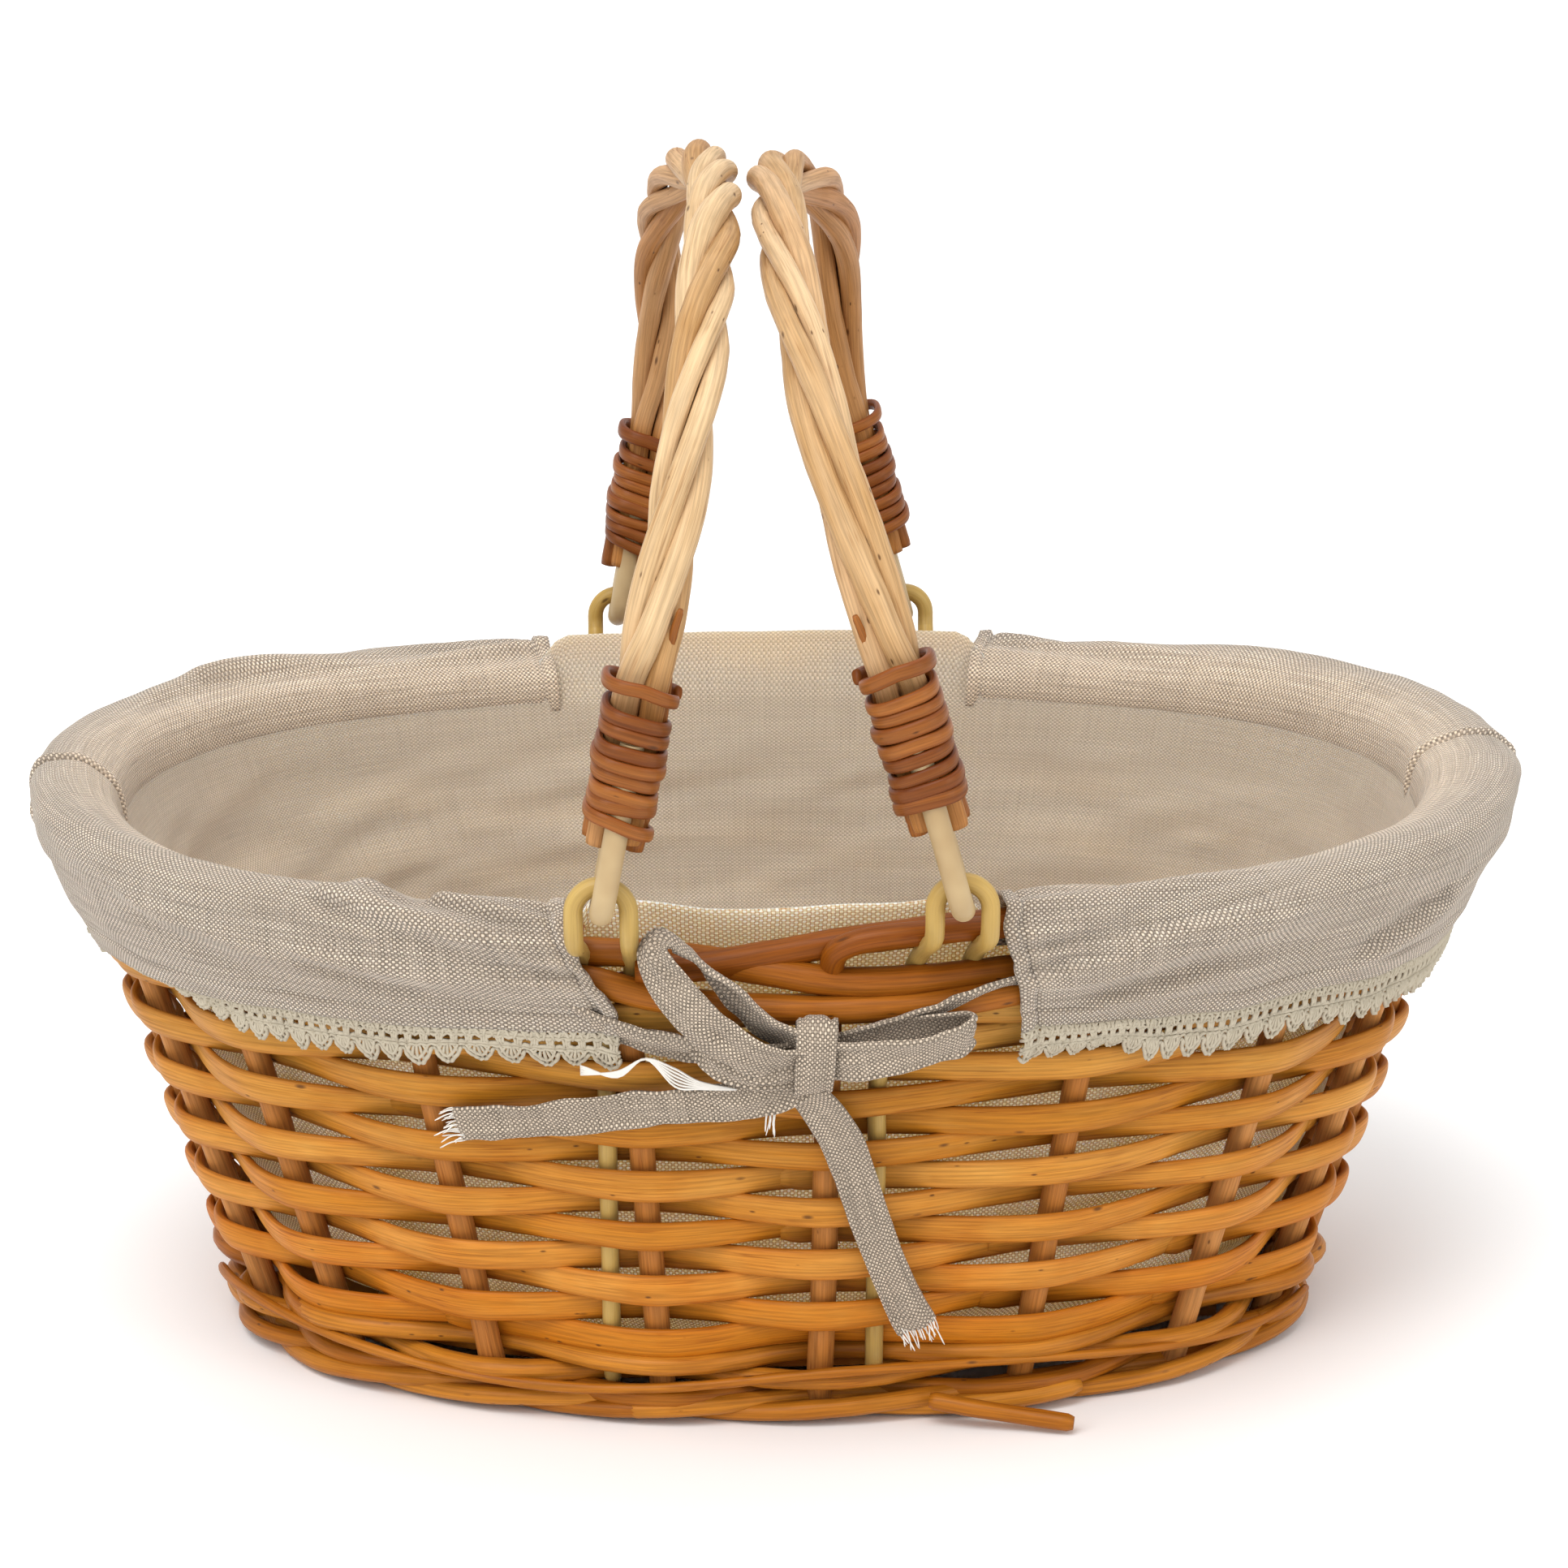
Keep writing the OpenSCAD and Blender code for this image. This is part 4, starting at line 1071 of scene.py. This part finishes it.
def tape(shape, stations, width, steps=10, thick=1.0, seed=1, crumple=0.5):
    """A flat tape through stations of (x, y, z, wx, wy, wz): places and the direction of its width."""
    line = spline(stations, steps)
    path, aim = line[:, :3], unit(line[:, 3:])
    along = unit(np.gradient(path, axis=0))
    aim = unit(aim - along * np.sum(aim * along, axis=1, keepdims=True))
    face = np.cross(along, aim)
    cols = 13
    f = np.linspace(0.5, -0.5, cols)
    run = np.concatenate([[0], np.cumsum(np.linalg.norm(np.diff(path, axis=0), axis=1))])
    ruck = crumple * (cloud(run[:, None] / 9, f[None] * 2.2 + 3, seed) + 0.9 * value_noise(run[:, None] / 26, f[None] * 5, seed + 7))
    half = thick / 2 + 0.35 * (np.abs(f) > 0.36) - 0.2 * np.exp(-((np.abs(f) - 0.33) / 0.03) ** 2)
    half[[0, -1]] = 0.14
    # One closed ring of points: the outer face, then the inner face back again
    out = np.concatenate([f, f[::-1]])
    rise = np.concatenate([ruck + half, (ruck - half)[:, ::-1]], axis=1)
    swell = width * (1 + 0.06 * value_noise(run / 12, 1, seed + 9))
    points = path[:, None] + aim[:, None] * (out[None] * swell[:, None])[..., None] + face[:, None] * rise[..., None]
    tint = np.zeros(points.shape[:2] + (4,))
    tint[..., 3] = 1
    v = np.concatenate([0.5 - f, 1.5 + f[::-1], [2.0]]) * width
    shape.grid(points, run[:, None], v[None], tint, wrap=True)
    shape.caps(len(path), 2 * cols, 0, 0)
    return run[-1]


def frayed_end(shape, centre, along, aim, width, seed, count=22):
    """Loose threads at a cut end."""
    random = rng(seed)
    centre, along, aim = (np.asarray(v, float) for v in (centre, along, aim))
    for k in range(count):
        f = (k / (count - 1) - 0.5) * width
        reach = 3 + 5 * random.random()
        wander = (random.random(3) - 0.5) * 2.6
        drop = np.array([0, 0, -0.8])
        root = centre + aim * f - along * 1.5
        points = [root, root + along * reach * 0.55 + wander * 0.35, root + along * reach + wander + drop]
        stick(shape, spline(points, 4), 0.2, seed + k, sides=4, rough=0.0, ends=0.5, slot=1)


def bow(turn, end_name):
    """Tape tied through the flaps' corners: a band, a knot, two loops and two tails."""
    spin = np.array([turn, turn, 1.0])

    def stations(rows):
        """Rows of place (x, z, outwards) and width direction (x, outwards, z)."""
        return np.array([np.concatenate([front(x, z, e) * spin, np.array([wx, -we, wz]) * spin])
                         for x, z, e, wx, we, wz in rows])

    def finish(shape, name, replaced):
        obj = shape.piece(f"{end_name}_{name}", [RIBBON, FRAY], "ribbon", "basket", replaced)

    shape = Shape()
    flat = tape(shape, stations([(-52, 121.5, 7.8, 0.1, 0.6, 0.8), (-40, 117.6, 8.6, 0.2, 0.75, 0.75),
                                 (-26, 114.0, 10.4, 0.25, 0.8, 0.7), (-8, 112.2, 12.0, 0.1, 0.6, 0.8),
                                 (8, 113.0, 12.2, 0, 0.4, 0.9), (22, 117.0, 12.4, -0.15, 0.8, 0.7),
                                 (38, 122.6, 10.6, -0.2, 0.8, 0.75), (58, 128.5, 7.4, -0.2, 0.7, 0.8)]), 11.0,
                seed=21, crumple=0.9)
    finish(shape, "tie_band", [f"{end_name}_band"])

    shape = Shape()
    knot = []
    for k in range(19):
        a = math.radians(k / 18 * 350 - 90)
        squash = signed_pow(math.cos(a), 0.7), signed_pow(math.sin(a), 0.85)
        knot.append((8.0 + 0.5 * math.sin(a), 113.2 + 9.6 * squash[1], 14.8 + 4.6 * squash[0], 1, 0.08, 0.06))
    flat = tape(shape, stations(knot), 9.6, steps=4, seed=22, crumple=0.7)
    finish(shape, "tie_knot", [f"{end_name}_knot"])

    shape = Shape()
    left = [(6, 112, 15.5, 0.55, 0.5, 0.65), (-4, 113, 19.5, 0.7, 0.25, 0.65), (-13, 119, 21.5, 0.76, 0.2, 0.6),
            (-22, 128, 22.0, 0.8, 0.25, 0.52), (-28.5, 137, 20.0, 0.75, 0.45, 0.45), (-31.0, 143.0, 16.8, 0.55, 0.8, 0.2),
            (-28.0, 145.4, 13.8, 0.2, 0.95, 0.0), (-22.5, 141, 12.6, 0.05, 0.95, 0.25), (-14, 132, 13.2, 0.15, 0.88, 0.4),
            (-6, 123, 14.0, 0.3, 0.8, 0.45), (4, 115, 14.6, 0.5, 0.6, 0.6)]
    flat = tape(shape, stations(left), 11.8, seed=23, crumple=0.9)
    right = [(10, 112.5, 16.2, -0.1, 0.35, 0.93), (18, 113.2, 19.8, -0.12, 0.4, 0.9),
             (28, 114.6, 21.4, -0.12, 0.48, 0.86), (37, 116.0, 21.0, -0.1, 0.56, 0.82),
             (43.5, 117.4, 19.2, -0.06, 0.6, 0.8), (46.2, 119.2, 16.6, 0.0, 0.6, 0.8),
             (43.5, 119.8, 14.2, -0.06, 0.56, 0.82), (36, 118.2, 13.0, -0.1, 0.5, 0.85),
             (26, 115.4, 13.0, -0.12, 0.42, 0.9), (17, 113.0, 13.6, -0.12, 0.36, 0.93),
             (9, 112, 14.2, -0.1, 0.3, 0.95)]
    flat += tape(shape, stations(right), 11.8, seed=24, crumple=0.7)
    # Gathers where the loops are pulled into the knot
    gather = [(4, 108.5, 15.8, 0.1, 0.3, 0.9), (-6, 107.8, 17.2, 0.2, 0.4, 0.85), (-15, 111.5, 16.4, 0.5, 0.5, 0.7),
              (-20, 116, 14.2, 0.7, 0.5, 0.4)]
    flat += tape(shape, stations(gather), 9.5, seed=29, crumple=1.2)
    finish(shape, "bow_loops", [f"{end_name}_loops"])

    shape = Shape()
    left = [(6, 107.5, 14.8, -0.5, 0.2, 0.85), (0, 103.0, 14.6, -0.55, 0.2, 0.82), (-8, 99.6, 13.0, -0.42, 0.25, 0.88),
            (-20, 97.8, 11.4, -0.2, 0.3, 0.92), (-34, 96.4, 10.4, -0.16, 0.3, 0.93), (-50, 93.2, 9.8, -0.2, 0.28, 0.93),
            (-66, 90.0, 9.4, -0.16, 0.26, 0.94), (-80, 88.0, 9.0, -0.05, 0.26, 0.95)]
    flat = tape(shape, stations(left), 10.8, seed=25, crumple=0.8)
    right = [(4, 104.5, 15.0, 0.6, 0.5, 0.6), (9, 98, 13.6, 0.75, 0.3, 0.6), (14, 89, 11.6, 0.85, 0.15, 0.5),
             (18, 77, 10.4, 0.92, 0.08, 0.36), (22, 63, 9.8, 0.93, 0.05, 0.33), (27, 48, 9.4, 0.92, 0, 0.36),
             (31.5, 36, 9.2, 0.92, 0, 0.36), (34.5, 29.5, 9.0, 0.9, 0, 0.34)]
    flat += tape(shape, stations(right), 10.4, seed=26, crumple=0.7)
    for rows, seed in ((left, 27), (right, 28)):
        s = stations(rows)
        frayed_end(shape, s[-1, :3], unit(s[-1, :3] - s[-2, :3]), unit(s[-1, 3:]), 10.0, 900 + seed * 30)
    # Loose white threads at the left flap's corner and under the knot
    for k in range(6):
        lift = 1.0 * k
        loose = [(-49, 106 + lift * 0.5, 12), (-40, 107.5 - lift * 0.3, 12.8), (-33, 111.5, 13.2), (-26, 109 - lift, 13.6),
                 (-20, 105.5 - lift * 0.4, 14), (-11, 103.5, 14.4)]
        stick(shape, spline(front(*np.array(loose).T), 6) * spin, 0.3, 960 + k, sides=4, rough=0.0, slot=1)
    frayed_end(shape, front(-2.5, 97.5, 13.5) * spin, unit(np.array([-0.15 * turn, -0.1 * turn, -1.0])),
               np.array([turn, 0, 0.0]), 2.2, 1990, count=14)
    finish(shape, "bow_tails", [f"{end_name}_tails"])


# ---------------------------------------------------------------- build

set_camera()
set_studio()
weave_rows()
stakes()
foot()
border()
arches()
for side_name in ("left", "right"):
    handle_rods(side_name)
    for end, end_name in ((-1, "front"), (1, "back")):
        binding(side_name, end, end_name)
liner()
flap(-1, "left")
flap(1, "right")
bow(1, "front")
bow(-1, "back")

for name, material in (("base_runners", STAKE), ("base_sticks", STAKE), ("base_weave", WEAVER)):
    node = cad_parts[name]
    for slot in node.material_slots:
        slot.material = material
for side_name in ("left", "right"):
    for end_name in ("front", "back"):
        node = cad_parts[f"{side_name}_link_{end_name}"]
        for slot in node.material_slots:
            slot.material = CREAM
